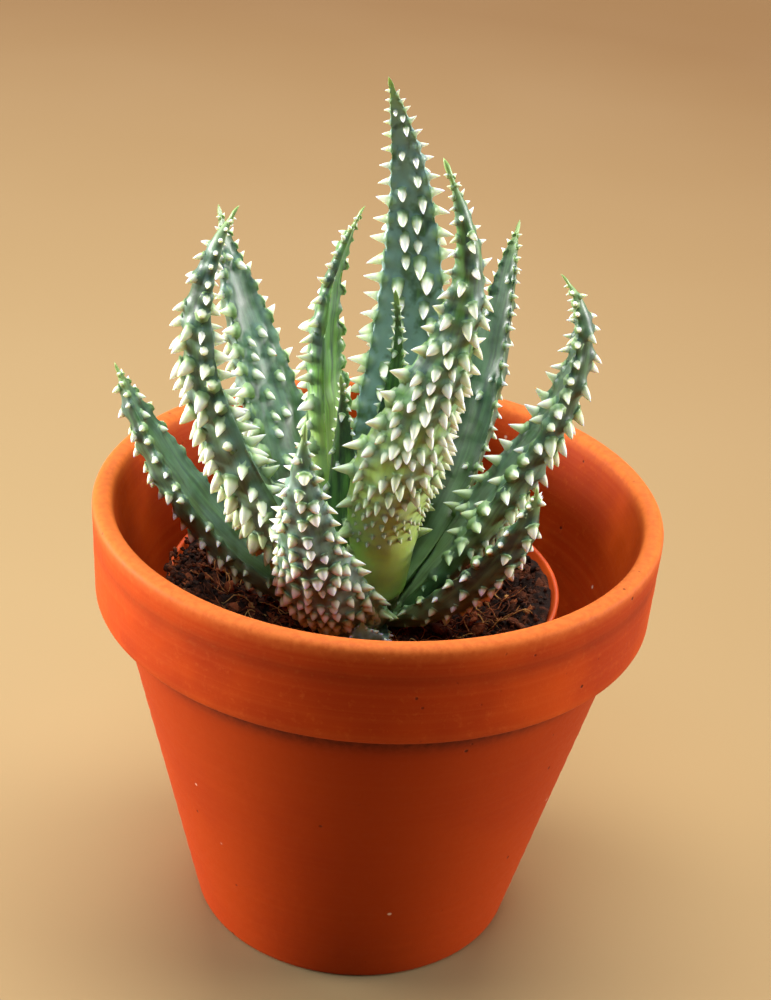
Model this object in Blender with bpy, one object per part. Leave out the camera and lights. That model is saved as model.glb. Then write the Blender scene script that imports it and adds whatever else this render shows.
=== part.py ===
"""Potted aloe: a clay pot, a plastic plant pot standing in it, soil, a stem and a rosette of toothed leaves.

Metres, +Z up. The origin is the middle of the clay pot's foot, on the surface it stands on.
Azimuths are turned from +X towards +Y, and +Y is the back of the plant.
"""
import math

import bmesh
import bpy
import numpy as np

MM = 0.001
GAP = 0.3 * MM                      # clearance between neighbouring pieces
SLIVER = 0.01 * MM                  # edges shorter than this are closed up after a cut

# Clay pot
POT_RIM_RADIUS = 45.0 * MM
POT_HEIGHT = 75.7 * MM
POT_BAND_HEIGHT = 17.0 * MM         # the thick band under the lip
POT_BAND_RADIUS = 44.4 * MM         # at the band's lower edge
POT_NECK_RADIUS = 40.9 * MM         # body just under the band
POT_FOOT_RADIUS = 26.7 * MM
POT_LIP_RADIUS = 42.0 * MM          # inside of the lip; the inner wall runs parallel to the outer one
POT_FLOOR = 6.0 * MM
POT_EDGE = 1.2 * MM                 # rounding of the lip and the band
DRAIN_RADIUS = 5.0 * MM
POT_SIDES = 48

# Plastic plant pot inside it, standing a little off centre
CUP_CENTRE = (-1.5 * MM, 1.0 * MM)
CUP_RIM_RADIUS = 31.6 * MM
CUP_RIM_HEIGHT = 3.0 * MM
CUP_TOP = 60.0 * MM
CUP_FOOT_RADIUS = 21.6 * MM
CUP_WALL = 0.9 * MM
CUP_EDGE = 0.3 * MM                 # rounding of its rim
CUP_RIM_TAPER = 0.1 * MM
CUP_FOOT_LIFT = 1.2 * MM            # its floor is raised on a foot ring
CUP_HOLES = 5
CUP_HOLE_RADIUS = 1.8 * MM
CUP_HOLE_CIRCLE = 13.0 * MM         # radius of the ring of holes
CUP_MIDDLE_HOLE = 2.0 * MM
CUP_HOLE_SIDES = 10
CUP_SIDES = 40

# Soil
SOIL_TOP = 55.4 * MM
SOIL_ROUGHNESS = 0.45 * MM
SOIL_WAVES = (0.9 / MM, 1.1 / MM, 1.7 / MM)     # turns of the small lumps along x, y and x + y
SOIL_SHIFT = 1.3                    # start of the wave along x
SOIL_SIDES = 32
SOIL_RINGS = 7
SOIL_CLUMPS = (                     # azimuth in degrees, distance, height, spread
    (152, 24 * MM, 3.4 * MM, 4.0 * MM),
    (20, 22 * MM, 1.0 * MM, 5.0 * MM),
    (262, 24 * MM, 0.9 * MM, 4.0 * MM),
)

# Stem
STEM_CENTRE = (-0.5 * MM, -3.0 * MM)
STEM_FOOT = 45.0 * MM
STEM_TOP = 65.5 * MM
STEM_RADIUS = 4.7 * MM
STEM_SHOULDER = 60.0 * MM           # height where it begins to narrow
STEM_NECK = 63.0 * MM
STEM_NECK_RADIUS = 4.05 * MM
STEM_TOP_RADIUS = 3.0 * MM
STEM_TOP_EDGE = 0.8 * MM            # its top and foot are rounded off
STEM_FOOT_EDGE = 2.0 * MM
STEM_SIDES = 16

# Leaves
LEAF_TIP = 0.35 * MM                # half width where the last ring ends
TIP_POINT = 1.4 * MM                # horny point past the last ring
HEEL = 1.2 * MM                     # the leaf's root carried on into the stem
TIP_DEPTH = 0.25                    # towards the tip a leaf is thicker for its width, by this share
KEEL = 0.9                          # power of the outer face's round: under 1 is fuller
SEED = 7

# Teeth
TOOTH_TILT = -0.3                   # lean towards the leaf's tip; below 0 it droops to the root
TOOTH_REACH = 0.38                  # share of the free space that a tooth may fill
TOOTH_CLEARANCE = 2.3 * MM          # between the axes of two leaves' teeth
TOOTH_SPREAD = (0.85, 1.1)          # smallest and largest share of the design's length
TOOTH_SHRINK = 0.35                 # how much shorter they are at the leaf's tip
SHORTEST_TOOTH = 0.7 * MM
MARGIN_TOOTH = 1.25                 # length of a tooth at the margin, as a share of the others'
END_TOOTH = 0.75                    # the same past the thin end
MARGIN_FROM = 0.6                   # margins are toothed from this share of the bare stretch
SPARSE_FROM = 0.8                   # share of the leaf's length where its outer teeth thin out
INNER_FROM = 0.25                   # share of its length where the inner face's teeth begin
THIN_END = 0.88                     # past this share of its length a leaf is thin
WIDEST_ROOT = 2.4 * MM              # a tooth on a larger cell gets a narrower root,
ROOT_INSET = 0.2                    # inset by this share of the cell
FREE_LOOK = 8.0 * MM                # how far ahead of a tooth other pieces are looked for
LOOK_STEP = 0.5 * MM
SOIL_CLEARANCE = 0.4 * MM
LIP_ZONE = 4.0 * MM                 # near the clay pot's lip the teeth stay short
LIP_TOOTH = 1.5 * MM


def leaf(name, heading, root, foot, reach, height, rise, width, **more):
    """One leaf's design. Angles in degrees, lengths in millimetres.

    heading: the way it grows, seen from above; root and foot: height and distance of its root;
    reach and height: distance and height of its tip; rise: its steepness at root and tip;
    lean: its sideways lean at root and tip; pull: how long it holds each of these directions;
    sway: a sideways wave; drift: sideways place of the tip; width: at its widest, which is the
    share belly of its length; waist: share of the width at the root; curve and taper: how it
    narrows to the tip; depth: thickness as a share of the width; hollow: that of its channel;
    bare: share of the length without teeth; pitch and columns: size and number of the cells of
    its skin, lengthways and across its outer face; tooth: a tooth's length; young: paleness.
    """
    values = dict(name=name, heading=heading, root=root, foot=foot, reach=reach, height=height,
                  rise=rise, width=width, lean=(0, 0), pull=(0.36, 0.36), sway=0.0, drift=0.0,
                  belly=0.3, waist=0.7, curve=1.0, taper=1.0, depth=0.42, hollow=0.10,
                  bare=0.10, pitch=2.3, columns=8, tooth=2.3, young=0.0)
    values.update(more)
    return values


# From the youngest, in the middle, to the oldest: each leaf is cut clear of those before it
LEAVES = (
    leaf("leaf_young_tall", 70, 66, 1.5, 2, 110, (92, 97), 5, lean=(11, 8), depth=0.5,
         hollow=0.05, waist=0.8, curve=1.2, pull=(0.38, 0.41), tooth=1.2, columns=4, young=0.8),
    leaf("leaf_young_short", 225, 65, 3, 9, 99.5, (77, 75), 6.5, lean=(-8, 2), depth=0.5,
         hollow=0.05, waist=0.8, curve=1.2, pull=(0.43, 0.30), tooth=1.2, columns=4, young=0.5),
    leaf("leaf_tall_back", 92, 64, 2.5, 15, 138.5, (72, 104), 13, lean=(-8, 18), drift=2,
         belly=0.35, taper=0.76, depth=0.40, tooth=2.8),
    leaf("leaf_middle_left", 165, 64.5, 3.5, 5.5, 123, (80, 112), 10, lean=(-4, -2),
         pull=(0.46, 0.30), curve=1.4, taper=0.8, depth=0.38, hollow=0.14, young=0.4),
    leaf("leaf_tall_front", 302, 62.7, 3.5, 12, 135, (85, 110), 14, lean=(-9, -18), sway=-2,
         pull=(0.41, 0.30), belly=0.38, waist=0.55, curve=0.8, taper=0.92, bare=0.25,
         tooth=2.6, young=0.7),
    leaf("leaf_tall_left", 196, 60, 4.5, 24, 124.5, (62, 116), 13, lean=(8, 2), sway=1,
         pull=(0.30, 0.40), curve=1.1, taper=0.75, depth=0.46, hollow=0.08, tooth=2.7),
    leaf("leaf_behind_left", 142, 60, 4, 36, 113.5, (54, 71), 12, sway=0.8, drift=-0.5,
         pull=(0.30, 0.41), curve=1.6, taper=0.8, depth=0.40),
    leaf("leaf_back_right", 50, 61, 4, 29.4, 114.8, (47, 76), 10, lean=(-6, -1),
         pull=(0.40, 0.41), curve=1.5, taper=0.78, depth=0.40),
    leaf("leaf_right", 3, 58.8, 4.5, 25.5, 115, (62, 127), 11.5, lean=(6, -6),
         pull=(0.26, 0.31), belly=0.22, curve=1.3, taper=0.72, depth=0.46, tooth=2.6),
    leaf("leaf_front_left", 248, 60, 5, 24.8, 98.8, (36, 92), 15, lean=(-6, 0), drift=-1.5,
         pull=(0.39, 0.24), waist=0.8, taper=0.95, bare=0.04, pitch=2.1),
    leaf("leaf_low_right", 325, 59, 5, 28.5, 88.5, (33, 80), 9.5, lean=(-2, -16),
         pull=(0.38, 0.18), waist=0.75, curve=2.2, taper=0.8, depth=0.45, hollow=0.08),
    leaf("leaf_low_left", 174, 58.8, 5, 41.5, 93.5, (8, 64), 10.5, lean=(14, 5),
         pull=(0.31, 0.22), belly=0.35, curve=2.0, taper=0.8, hollow=0.08),
    leaf("leaf_low_back", 82, 59, 5, 28, 84, (30, 65), 11, waist=0.75, curve=1.4, taper=0.85,
         columns=6),
    leaf("leaf_low_back_left", 122, 58.7, 5, 27, 78, (25, 60), 10, waist=0.75, curve=1.4,
         taper=0.85, columns=6),
    leaf("leaf_new_front", 270, 57.2, 5, 16.5, 62, (-2, 60), 7, waist=0.8, belly=0.4, curve=1.4,
         depth=0.3, hollow=0.04, tooth=1.0, columns=4),
)


def clear_scene():
    for item in list(bpy.data.objects):
        bpy.data.objects.remove(item, do_unlink=True)


def material(name, colour, roughness):
    made = bpy.data.materials.new(name)
    made.use_nodes = True
    shader = made.node_tree.nodes["Principled BSDF"]
    shader.inputs["Base Color"].default_value = (*colour, 1.0)
    shader.inputs["Roughness"].default_value = roughness
    shader.inputs["Metallic"].default_value = 0.0
    return made


def add_object(name, mesh, finish):
    made = bpy.data.objects.new(name, mesh)
    bpy.context.scene.collection.objects.link(made)
    mesh.materials.append(finish)
    return made


def face_outwards(mesh):
    work = bmesh.new()
    work.from_mesh(mesh)
    bmesh.ops.recalc_face_normals(work, faces=work.faces[:])
    work.to_mesh(mesh)
    work.free()


def shade(mesh, angle=40):
    mesh.shade_smooth()
    mesh.set_sharp_from_angle(angle=math.radians(angle))


def turned(name, profile, centre, sides, finish):
    """A closed profile of (radius, height) points spun once round a vertical axis."""
    work = bmesh.new()
    points = [work.verts.new((radius, 0.0, height)) for radius, height in profile]
    edges = [work.edges.new((points[i - 1], points[i])) for i in range(len(points))]
    bmesh.ops.spin(work, geom=points + edges, cent=(0, 0, 0), axis=(0, 0, 1),
                   angle=math.tau, steps=sides, use_merge=True)
    bmesh.ops.recalc_face_normals(work, faces=work.faces[:])
    bmesh.ops.translate(work, verts=work.verts[:], vec=(*centre, 0.0))
    mesh = bpy.data.meshes.new(name)
    work.to_mesh(mesh)
    work.free()
    shade(mesh)
    return add_object(name, mesh, finish)


def lofted(name, rings, start, end, finish):
    """Rings of points joined into a skin, closed at a point before the first and past the last."""
    count, sides = rings.shape[:2]
    points = np.vstack([rings.reshape(-1, 3), start, end])
    faces = []
    for ring in range(count - 1):
        for side in range(sides):
            here = ring * sides + side
            beside = ring * sides + (side + 1) % sides
            faces.append((here, beside, beside + sides, here + sides))
    last = (count - 1) * sides
    for side in range(sides):
        beside = (side + 1) % sides
        faces.append((beside, side, count * sides))
        faces.append((last + side, last + beside, count * sides + 1))
    mesh = bpy.data.meshes.new(name)
    mesh.from_pydata(points.tolist(), [], faces)
    face_outwards(mesh)
    shade(mesh, 50)
    return add_object(name, mesh, finish)


def combine(target, tool, operation, solver="MANIFOLD"):
    """Join the tool to the target or cut it out, then drop the tool and any loose scrap."""
    step = target.modifiers.new(operation.lower(), "BOOLEAN")
    step.operation = operation
    step.solver = solver
    step.object = tool
    with bpy.context.temp_override(object=target, active_object=target):
        bpy.ops.object.modifier_apply(modifier=step.name)
    bpy.data.objects.remove(tool, do_unlink=True)
    keep_largest(target.data)


def keep_largest(mesh):
    """Delete all but the biggest connected piece."""
    work = bmesh.new()
    work.from_mesh(mesh)
    left = set(work.verts)
    pieces = []
    while left:
        piece = {left.pop()}
        edge_of_piece = list(piece)
        while edge_of_piece:
            point = edge_of_piece.pop()
            fresh = {edge.other_vert(point) for edge in point.link_edges} & left
            left -= fresh
            piece |= fresh
            edge_of_piece.extend(fresh)
        pieces.append(piece)
    pieces.sort(key=len)
    scraps = [point for piece in pieces[:-1] for point in piece]
    bmesh.ops.delete(work, geom=scraps, context="VERTS")
    bmesh.ops.dissolve_degenerate(work, edges=work.edges[:], dist=SLIVER)
    work.to_mesh(mesh)
    work.free()


def build_clay_pot():
    clay = material("fired_clay", (0.72, 0.17, 0.035), 0.75)
    band_foot = POT_HEIGHT - POT_BAND_HEIGHT
    slope = (POT_NECK_RADIUS - POT_FOOT_RADIUS) / band_foot
    floor_radius = POT_LIP_RADIUS - slope * (POT_HEIGHT - POT_FLOOR)
    edge = POT_EDGE
    profile = [
        (DRAIN_RADIUS, 0.0),
        (POT_FOOT_RADIUS - edge, 0.0),
        (POT_FOOT_RADIUS, edge),
        (POT_NECK_RADIUS, band_foot),
        (POT_BAND_RADIUS - edge, band_foot),
        (POT_BAND_RADIUS, band_foot + edge),
        (POT_RIM_RADIUS, POT_HEIGHT - edge * 1.1),
        (POT_RIM_RADIUS - edge * 0.35, POT_HEIGHT - edge * 0.3),
        (POT_RIM_RADIUS - edge, POT_HEIGHT),
        (POT_LIP_RADIUS + edge * 0.8, POT_HEIGHT),
        (POT_LIP_RADIUS + edge * 0.2, POT_HEIGHT - edge * 0.3),
        (POT_LIP_RADIUS - slope * edge, POT_HEIGHT - edge),
        (floor_radius + slope * 2 * edge, POT_FLOOR + 2 * edge),
        (floor_radius - edge, POT_FLOOR),
        (DRAIN_RADIUS, POT_FLOOR),
    ]
    return turned("clay_pot", profile, (0.0, 0.0), POT_SIDES, clay)


def cup_radius(height):
    """Outside of the plant pot's wall at a height."""
    foot = POT_FLOOR + GAP
    share = (height - foot) / (CUP_TOP - foot)
    return CUP_FOOT_RADIUS + (CUP_RIM_RADIUS - CUP_WALL - CUP_FOOT_RADIUS) * share


def build_nursery_pot():
    plastic = material("orange_plastic", (0.66, 0.14, 0.04), 0.45)
    foot = POT_FLOOR + GAP
    floor = foot + CUP_FOOT_LIFT
    rim_foot = CUP_TOP - CUP_RIM_HEIGHT
    profile = [
        (CUP_FOOT_RADIUS - CUP_WALL, foot),
        (CUP_FOOT_RADIUS, foot),
        (cup_radius(rim_foot), rim_foot),
        (CUP_RIM_RADIUS - CUP_RIM_TAPER, rim_foot),
        (CUP_RIM_RADIUS, CUP_TOP - CUP_EDGE),
        (CUP_RIM_RADIUS - CUP_EDGE, CUP_TOP),
        (cup_radius(CUP_TOP) - CUP_WALL + CUP_EDGE, CUP_TOP),
        (cup_radius(CUP_TOP) - CUP_WALL, CUP_TOP - CUP_EDGE),
        (cup_radius(floor + CUP_WALL) - CUP_WALL, floor + CUP_WALL),
        (CUP_MIDDLE_HOLE, floor + CUP_WALL),
        (CUP_MIDDLE_HOLE, floor),
        (CUP_FOOT_RADIUS - CUP_WALL, floor),
    ]
    cup = turned("nursery_pot", profile, CUP_CENTRE, CUP_SIDES, plastic)
    for index in range(CUP_HOLES):
        angle = math.tau * (index + 0.5) / CUP_HOLES
        drill_mesh = bpy.data.meshes.new("drain_drill")
        work = bmesh.new()
        bmesh.ops.create_cone(work, cap_ends=True, segments=CUP_HOLE_SIDES,
                              radius1=CUP_HOLE_RADIUS, radius2=CUP_HOLE_RADIUS, depth=6 * CUP_WALL)
        place = (CUP_CENTRE[0] + CUP_HOLE_CIRCLE * math.cos(angle),
                 CUP_CENTRE[1] + CUP_HOLE_CIRCLE * math.sin(angle), floor)
        bmesh.ops.translate(work, verts=work.verts[:], vec=place)
        work.to_mesh(drill_mesh)
        work.free()
        drill = add_object("drain_drill", drill_mesh, plastic)
        combine(cup, drill, "DIFFERENCE", "EXACT")
    return cup


def soil_height(x, y):
    """Top of the soil: the level, two crossed waves of small lumps, and the larger clumps."""
    along_x, along_y, along_both = SOIL_WAVES
    lumps = np.sin(x * along_x + SOIL_SHIFT) * np.sin(y * along_y) + np.sin((x + y) * along_both)
    level = SOIL_TOP + SOIL_ROUGHNESS / 2 * lumps
    for azimuth, distance, tall, spread in SOIL_CLUMPS:
        away_x = x - CUP_CENTRE[0] - distance * math.cos(math.radians(azimuth))
        away_y = y - CUP_CENTRE[1] - distance * math.sin(math.radians(azimuth))
        level = level + tall * np.exp(-(away_x ** 2 + away_y ** 2) / spread ** 2)
    return level


def circle(radius, height, centre, sides):
    angles = np.arange(sides) * math.tau / sides
    return np.stack([centre[0] + radius * np.cos(angles), centre[1] + radius * np.sin(angles),
                     np.full(sides, height)], axis=-1)


def build_soil(name, lift, finish):
    """The soil; as a cutter its top is lifted by the gap."""
    bottom = POT_FLOOR + GAP + CUP_FOOT_LIFT + CUP_WALL + GAP
    inset = CUP_WALL + 2 * GAP      # a flat-sided ring needs a little more than the gap
    hole = STEM_RADIUS + GAP
    outer_bottom = circle(cup_radius(bottom) - inset, bottom, CUP_CENTRE, SOIL_SIDES)
    outer_top = circle(cup_radius(SOIL_TOP) - inset, SOIL_TOP, CUP_CENTRE, SOIL_SIDES)
    inner_top = circle(hole, SOIL_TOP, STEM_CENTRE, SOIL_SIDES)
    rings = [outer_bottom]
    for step in range(SOIL_RINGS + 1):
        share = step / SOIL_RINGS
        ring = outer_top * (1 - share) + inner_top * share
        ring[:, 2] = soil_height(ring[:, 0], ring[:, 1]) + lift
        rings.append(ring)
    hole_foot = circle(hole, STEM_FOOT - GAP, STEM_CENTRE, SOIL_SIDES)
    rings.append(hole_foot)
    start = (*CUP_CENTRE, bottom)
    end = (*STEM_CENTRE, STEM_FOOT - GAP)
    return lofted(name, np.array(rings), start, end, finish)


def stem_rings(grow):
    """Rings up the stem; as a cutter it is thicker, and higher above its shoulder, by grow."""
    profile = (
        (STEM_RADIUS - STEM_FOOT_EDGE / 4, STEM_FOOT),
        (STEM_RADIUS, STEM_FOOT + STEM_FOOT_EDGE),
        (STEM_RADIUS, STEM_SHOULDER),
        (STEM_NECK_RADIUS, STEM_NECK + grow),
        (STEM_TOP_RADIUS, STEM_TOP - STEM_TOP_EDGE + grow),
        (STEM_TOP_RADIUS / 2, STEM_TOP + grow),
    )
    return np.array([circle(radius + grow, height, STEM_CENTRE, STEM_SIDES)
                     for radius, height in profile])


def build_stem(name, grow, finish):
    rings = stem_rings(grow)
    start = (*STEM_CENTRE, STEM_FOOT)
    end = (*STEM_CENTRE, STEM_TOP + STEM_TOP_EDGE / 2 + grow)
    return lofted(name, rings, start, end, finish)


def midline(design, count=81):
    """A leaf's middle line and its frames: a cubic curve in its own upright plane, plus a sway."""
    heading = math.radians(design["heading"])
    outward = np.array([math.cos(heading), math.sin(heading), 0.0])
    aside = np.array([-math.sin(heading), math.cos(heading), 0.0])
    upward = np.array([0.0, 0.0, 1.0])
    centre = np.array([*STEM_CENTRE, 0.0])
    root = centre + MM * (outward * design["foot"] + upward * design["root"])
    tip = centre + MM * (outward * design["reach"] + upward * design["height"]
                         + aside * design["drift"])
    chord = np.linalg.norm(tip - root)
    ways = []
    for rise, lean in zip(np.radians(design["rise"]), np.radians(design["lean"])):
        way = outward * math.cos(rise) + upward * math.sin(rise)
        ways.append(way * math.cos(lean) + aside * math.sin(lean))
    near = root + ways[0] * chord * design["pull"][0]
    far = tip - ways[1] * chord * design["pull"][1]
    t = np.linspace(0.0, 1.0, count)[:, None]
    line = (1 - t) ** 3 * root + 3 * (1 - t) ** 2 * t * near + 3 * (1 - t) * t ** 2 * far + t ** 3 * tip
    line = line + design["sway"] * MM * np.sin(math.tau * t) * np.sin(math.pi * t) * aside
    along = np.gradient(line, t[:, 0], axis=0, edge_order=2)
    along /= np.linalg.norm(along, axis=1, keepdims=True)
    across = aside - (along @ aside)[:, None] * along
    across /= np.linalg.norm(across, axis=1, keepdims=True)
    inward = np.cross(along, across)
    steps = np.linalg.norm(np.diff(line, axis=0), axis=1)
    share = np.concatenate([[0.0], np.cumsum(steps)])
    return {"length": share[-1], "share": share / share[-1], "line": line, "along": along,
            "across": across, "inward": inward}


def half_width(design, s):
    """Grows from the waist to the belly by a quarter sine, then narrows to the tip."""
    belly = design["belly"]
    grow = design["waist"] + (1 - design["waist"]) * np.sin(np.clip(s / belly, 0, 1) * math.pi / 2)
    beyond = np.clip((s - belly) / (1 - belly), 0, 1)
    narrow = (1 - beyond ** design["curve"]) ** design["taper"]
    return np.maximum(design["width"] / 2 * MM * grow * narrow, LEAF_TIP)


def leaf_points(design, course, s, theta, grow=0.0):
    """Points of the leaf's skin. Theta 0 and pi are its margins, 0 to pi is its outer face."""
    s = np.asarray(s, float)
    theta = np.asarray(theta, float)
    picked = {}
    for key in ("line", "along", "across", "inward"):
        picked[key] = np.stack([np.interp(s, course["share"], course[key][:, axis])
                                for axis in range(3)], axis=-1)
    wide = half_width(design, s)
    deep = wide * 2 * design["depth"] * (1 + TIP_DEPTH * s) + grow
    hollow = wide * 2 * design["hollow"] * (1 - s)
    sine = np.sin(theta)
    outer = -deep * np.abs(sine) ** KEEL + grow * (1 - np.abs(sine))
    inner = -hollow * sine ** 2 + grow
    sideways = (wide + grow) * np.cos(theta)
    depth = np.where(sine >= 0, outer, inner)
    return (picked["line"] + sideways[..., None] * picked["across"]
            + depth[..., None] * picked["inward"])


def leaf_angles(design):
    """Angles round the leaf: fine steps on the outer face, wide ones on the inner face."""
    outer = design["columns"]
    inner = max(2, outer // 2)
    return np.concatenate([np.arange(outer) * math.pi / outer,
                           math.pi + np.arange(inner) * math.pi / inner])


def leaf_rings(design, course, grow=0.0):
    """Rings of skin from the heel to the tip, and the shares of the length where they lie."""
    count = max(5, round(course["length"] / (design["pitch"] * MM)))
    shares = np.linspace(0.0, 1.0, count)
    angles = leaf_angles(design)
    s, theta = np.meshgrid(shares, angles, indexing="ij")
    rings = leaf_points(design, course, s, theta, grow)
    heel = rings[0] - course["along"][0] * (HEEL + grow)
    return np.concatenate([heel[None], rings]), shares, angles


def leaf_core(name, design, course, finish, grow=0.0):
    """The leaf without its teeth."""
    rings = leaf_rings(design, course, grow)[0]
    end = course["line"][-1] + course["along"][-1] * (TIP_POINT + grow)
    return lofted(name, rings, rings[0].mean(axis=0), end, finish)


def inside_leaf(design, course, points, grow):
    """Which points lie in a leaf that is thicker by grow all over."""
    apart = np.linalg.norm(points[:, None] - course["line"][None, ::2], axis=-1)
    nearest = apart.argmin(axis=1) * 2
    offset = points - course["line"][nearest]
    s = course["share"][nearest]
    wide = half_width(design, s)
    deep = wide * 2 * design["depth"] * (1 + TIP_DEPTH * s)
    x = (offset * course["across"][nearest]).sum(axis=1)
    y = (offset * course["inward"][nearest]).sum(axis=1)
    z = (offset * course["along"][nearest]).sum(axis=1)
    return (np.abs(x) < wide + grow) & (y > -deep - grow) & (y < grow) & (np.abs(z) < HEEL + grow)


def toothed_cells(design, shares, angles, random):
    """Cells of the skin that carry a tooth, as (row, column, length in millimetres).

    Every other cell of the outer face does, like a chequer board, and every second row has one at
    each margin. The inner face has two loose files of them in its upper part.
    """
    outer = design["columns"]
    cells = []
    for row in range(1, len(shares) - 1):
        s = (shares[row] + shares[row - 1]) / 2
        if s < design["bare"] * MARGIN_FROM:
            continue
        size = design["tooth"] * (1 - TOOTH_SHRINK * s) * random.uniform(*TOOTH_SPREAD)
        if row % 2 == 0:
            long = size * (MARGIN_TOOTH if s < THIN_END else END_TOOTH)
            cells += [(row, 0, long), (row, outer - 1, long)]
        if s < design["bare"] or s > THIN_END:
            continue
        step = 2 if s < SPARSE_FROM else 4
        cells += [(row, column, size) for column in range(2 - row % 2, outer - 1, step)]
        if s > INNER_FROM and row % 3 == 0:
            cells.append((row, outer + (1 if row % 2 else len(angles) - outer - 2), size))
    return sorted(set(cells))


def tooth_ways(design, course, s, theta):
    """Root of a tooth, its direction and the leaf's own: along the normal, leaning to the tip."""
    root = leaf_points(design, course, s, theta)
    around = leaf_points(design, course, s, theta + 0.05) - leaf_points(design, course, s, theta - 0.05)
    ahead = (leaf_points(design, course, np.minimum(s + 0.004, 1), theta)
             - leaf_points(design, course, s - 0.004, theta))
    normal = np.cross(ahead, around)
    normal /= np.linalg.norm(normal, axis=1, keepdims=True)
    ahead /= np.linalg.norm(ahead, axis=1, keepdims=True)
    way = normal + TOOTH_TILT * ahead
    return root, way / np.linalg.norm(way, axis=1, keepdims=True)


def clip_teeth(index, root, way, long, courses):
    """Shorten each tooth to its share of the free space before the other leaves and the soil."""
    room = np.full(len(root), np.inf)
    for distance in np.arange(FREE_LOOK, 0.0, -LOOK_STEP):
        points = root + way * distance
        stopped = points[:, 2] < soil_height(points[:, 0], points[:, 1]) + SOIL_CLEARANCE
        for other, design in enumerate(LEAVES):
            if other != index:
                stopped |= inside_leaf(design, courses[other], points, 3 * GAP)
        room = np.where(stopped, distance, room)
    by_lip = np.hypot(root[:, 0], root[:, 1]) > POT_LIP_RADIUS - LIP_ZONE
    long = np.where(by_lip, np.minimum(long, LIP_TOOTH), long)
    return np.minimum(long, room * TOOTH_REACH)


def meets_teeth(samples, placed):
    """Which of the new teeth come near a tooth of another leaf, by points along their axes."""
    if not placed:
        return np.zeros(len(samples), bool)
    others = np.concatenate(placed).reshape(-1, 3)
    apart = np.linalg.norm(samples[:, :, None] - others[None, None], axis=-1)
    return apart.min(axis=(1, 2)) < TOOTH_CLEARANCE


def toothed_leaf(index, courses, placed, random, finish):
    """The leaf's skin, with each tooth raised as a pyramid from its cell."""
    design = LEAVES[index]
    course = courses[index]
    rings, shares, angles = leaf_rings(design, course)
    sides = len(angles)
    cells = toothed_cells(design, shares, angles, random)
    row, column, size = (np.array(values) for values in zip(*cells))
    following = np.append(angles[1:], math.tau)
    s = (shares[row] + shares[row - 1]) / 2
    theta = (angles[column] + following[column]) / 2
    outer = design["columns"]
    theta = np.where(column == 0, 0.02, np.where(column == outer - 1, math.pi - 0.02, theta))
    root, way = tooth_ways(design, course, s, theta)
    long = clip_teeth(index, root, way, size * MM, courses)
    samples = root[:, None] + way[:, None] * (long[:, None] * np.array([0.2, 0.6, 1.0]))[..., None]
    keep = (long > SHORTEST_TOOTH) & ~meets_teeth(samples, placed)
    placed.append(samples[keep])

    # ring 0 is the heel, so the cell of a row lies between ring row and ring row + 1
    end = course["line"][-1] + course["along"][-1] * TIP_POINT
    body = lofted(design["name"], rings, rings[0].mean(axis=0), end, finish)
    work = bmesh.new()
    work.from_mesh(body.data)
    work.faces.ensure_lookup_table()
    # faces were added ring by ring, from the heel on
    tips = (root + way * long[:, None])[keep]
    chosen = [(work.faces[int(r) * sides + int(c)], tip, c)
              for r, c, tip in zip(row[keep], column[keep], tips)]
    for face, tip, place in chosen:
        size = math.sqrt(face.calc_area())
        if place >= outer or size > WIDEST_ROOT:
            bmesh.ops.inset_individual(work, faces=[face], use_even_offset=True,
                                       thickness=size * ROOT_INSET)
        poked = bmesh.ops.poke(work, faces=[face])
        poked["verts"][0].co = tip
    bmesh.ops.recalc_face_normals(work, faces=work.faces[:])
    work.to_mesh(body.data)
    work.free()
    return body


def mesh_box(item):
    """Lowest and highest corner of an object whose place is in its mesh."""
    points = np.array([point.co[:] for point in item.data.vertices])
    return points.min(axis=0), points.max(axis=0)


def boxes_meet(first, second):
    low = np.maximum(mesh_box(first)[0], mesh_box(second)[0])
    high = np.minimum(mesh_box(first)[1], mesh_box(second)[1])
    return bool(np.all(low < high))


def build_leaves():
    random = np.random.default_rng(SEED)
    courses = [midline(design) for design in LEAVES]
    placed = []
    for index, design in enumerate(LEAVES):
        young = design["young"]
        colour = (0.035 + 0.12 * young, 0.10 + 0.16 * young, 0.05 + 0.01 * young)
        finish = material(design["name"] + "_skin", colour, 0.5)
        body = toothed_leaf(index, courses, placed, random, finish)
        combine(body, build_stem("stem_cutter", GAP, finish), "DIFFERENCE")
        combine(body, build_soil("soil_cutter", GAP, finish), "DIFFERENCE")
        for earlier in range(index):
            cutter = leaf_core("leaf_cutter", LEAVES[earlier], courses[earlier], finish, GAP)
            if boxes_meet(body, cutter):
                combine(body, cutter, "DIFFERENCE")
            else:
                bpy.data.objects.remove(cutter, do_unlink=True)
        shade(body.data, 50)


def build():
    clear_scene()
    build_clay_pot()
    build_nursery_pot()
    build_soil("soil", 0.0, material("potting_soil", (0.045, 0.02, 0.012), 0.95))
    build_stem("stem", 0.0, material("stem_bark", (0.16, 0.13, 0.06), 0.8))
    build_leaves()


build()
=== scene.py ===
import math

import bpy
import numpy as np
from mathutils import Matrix


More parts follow.
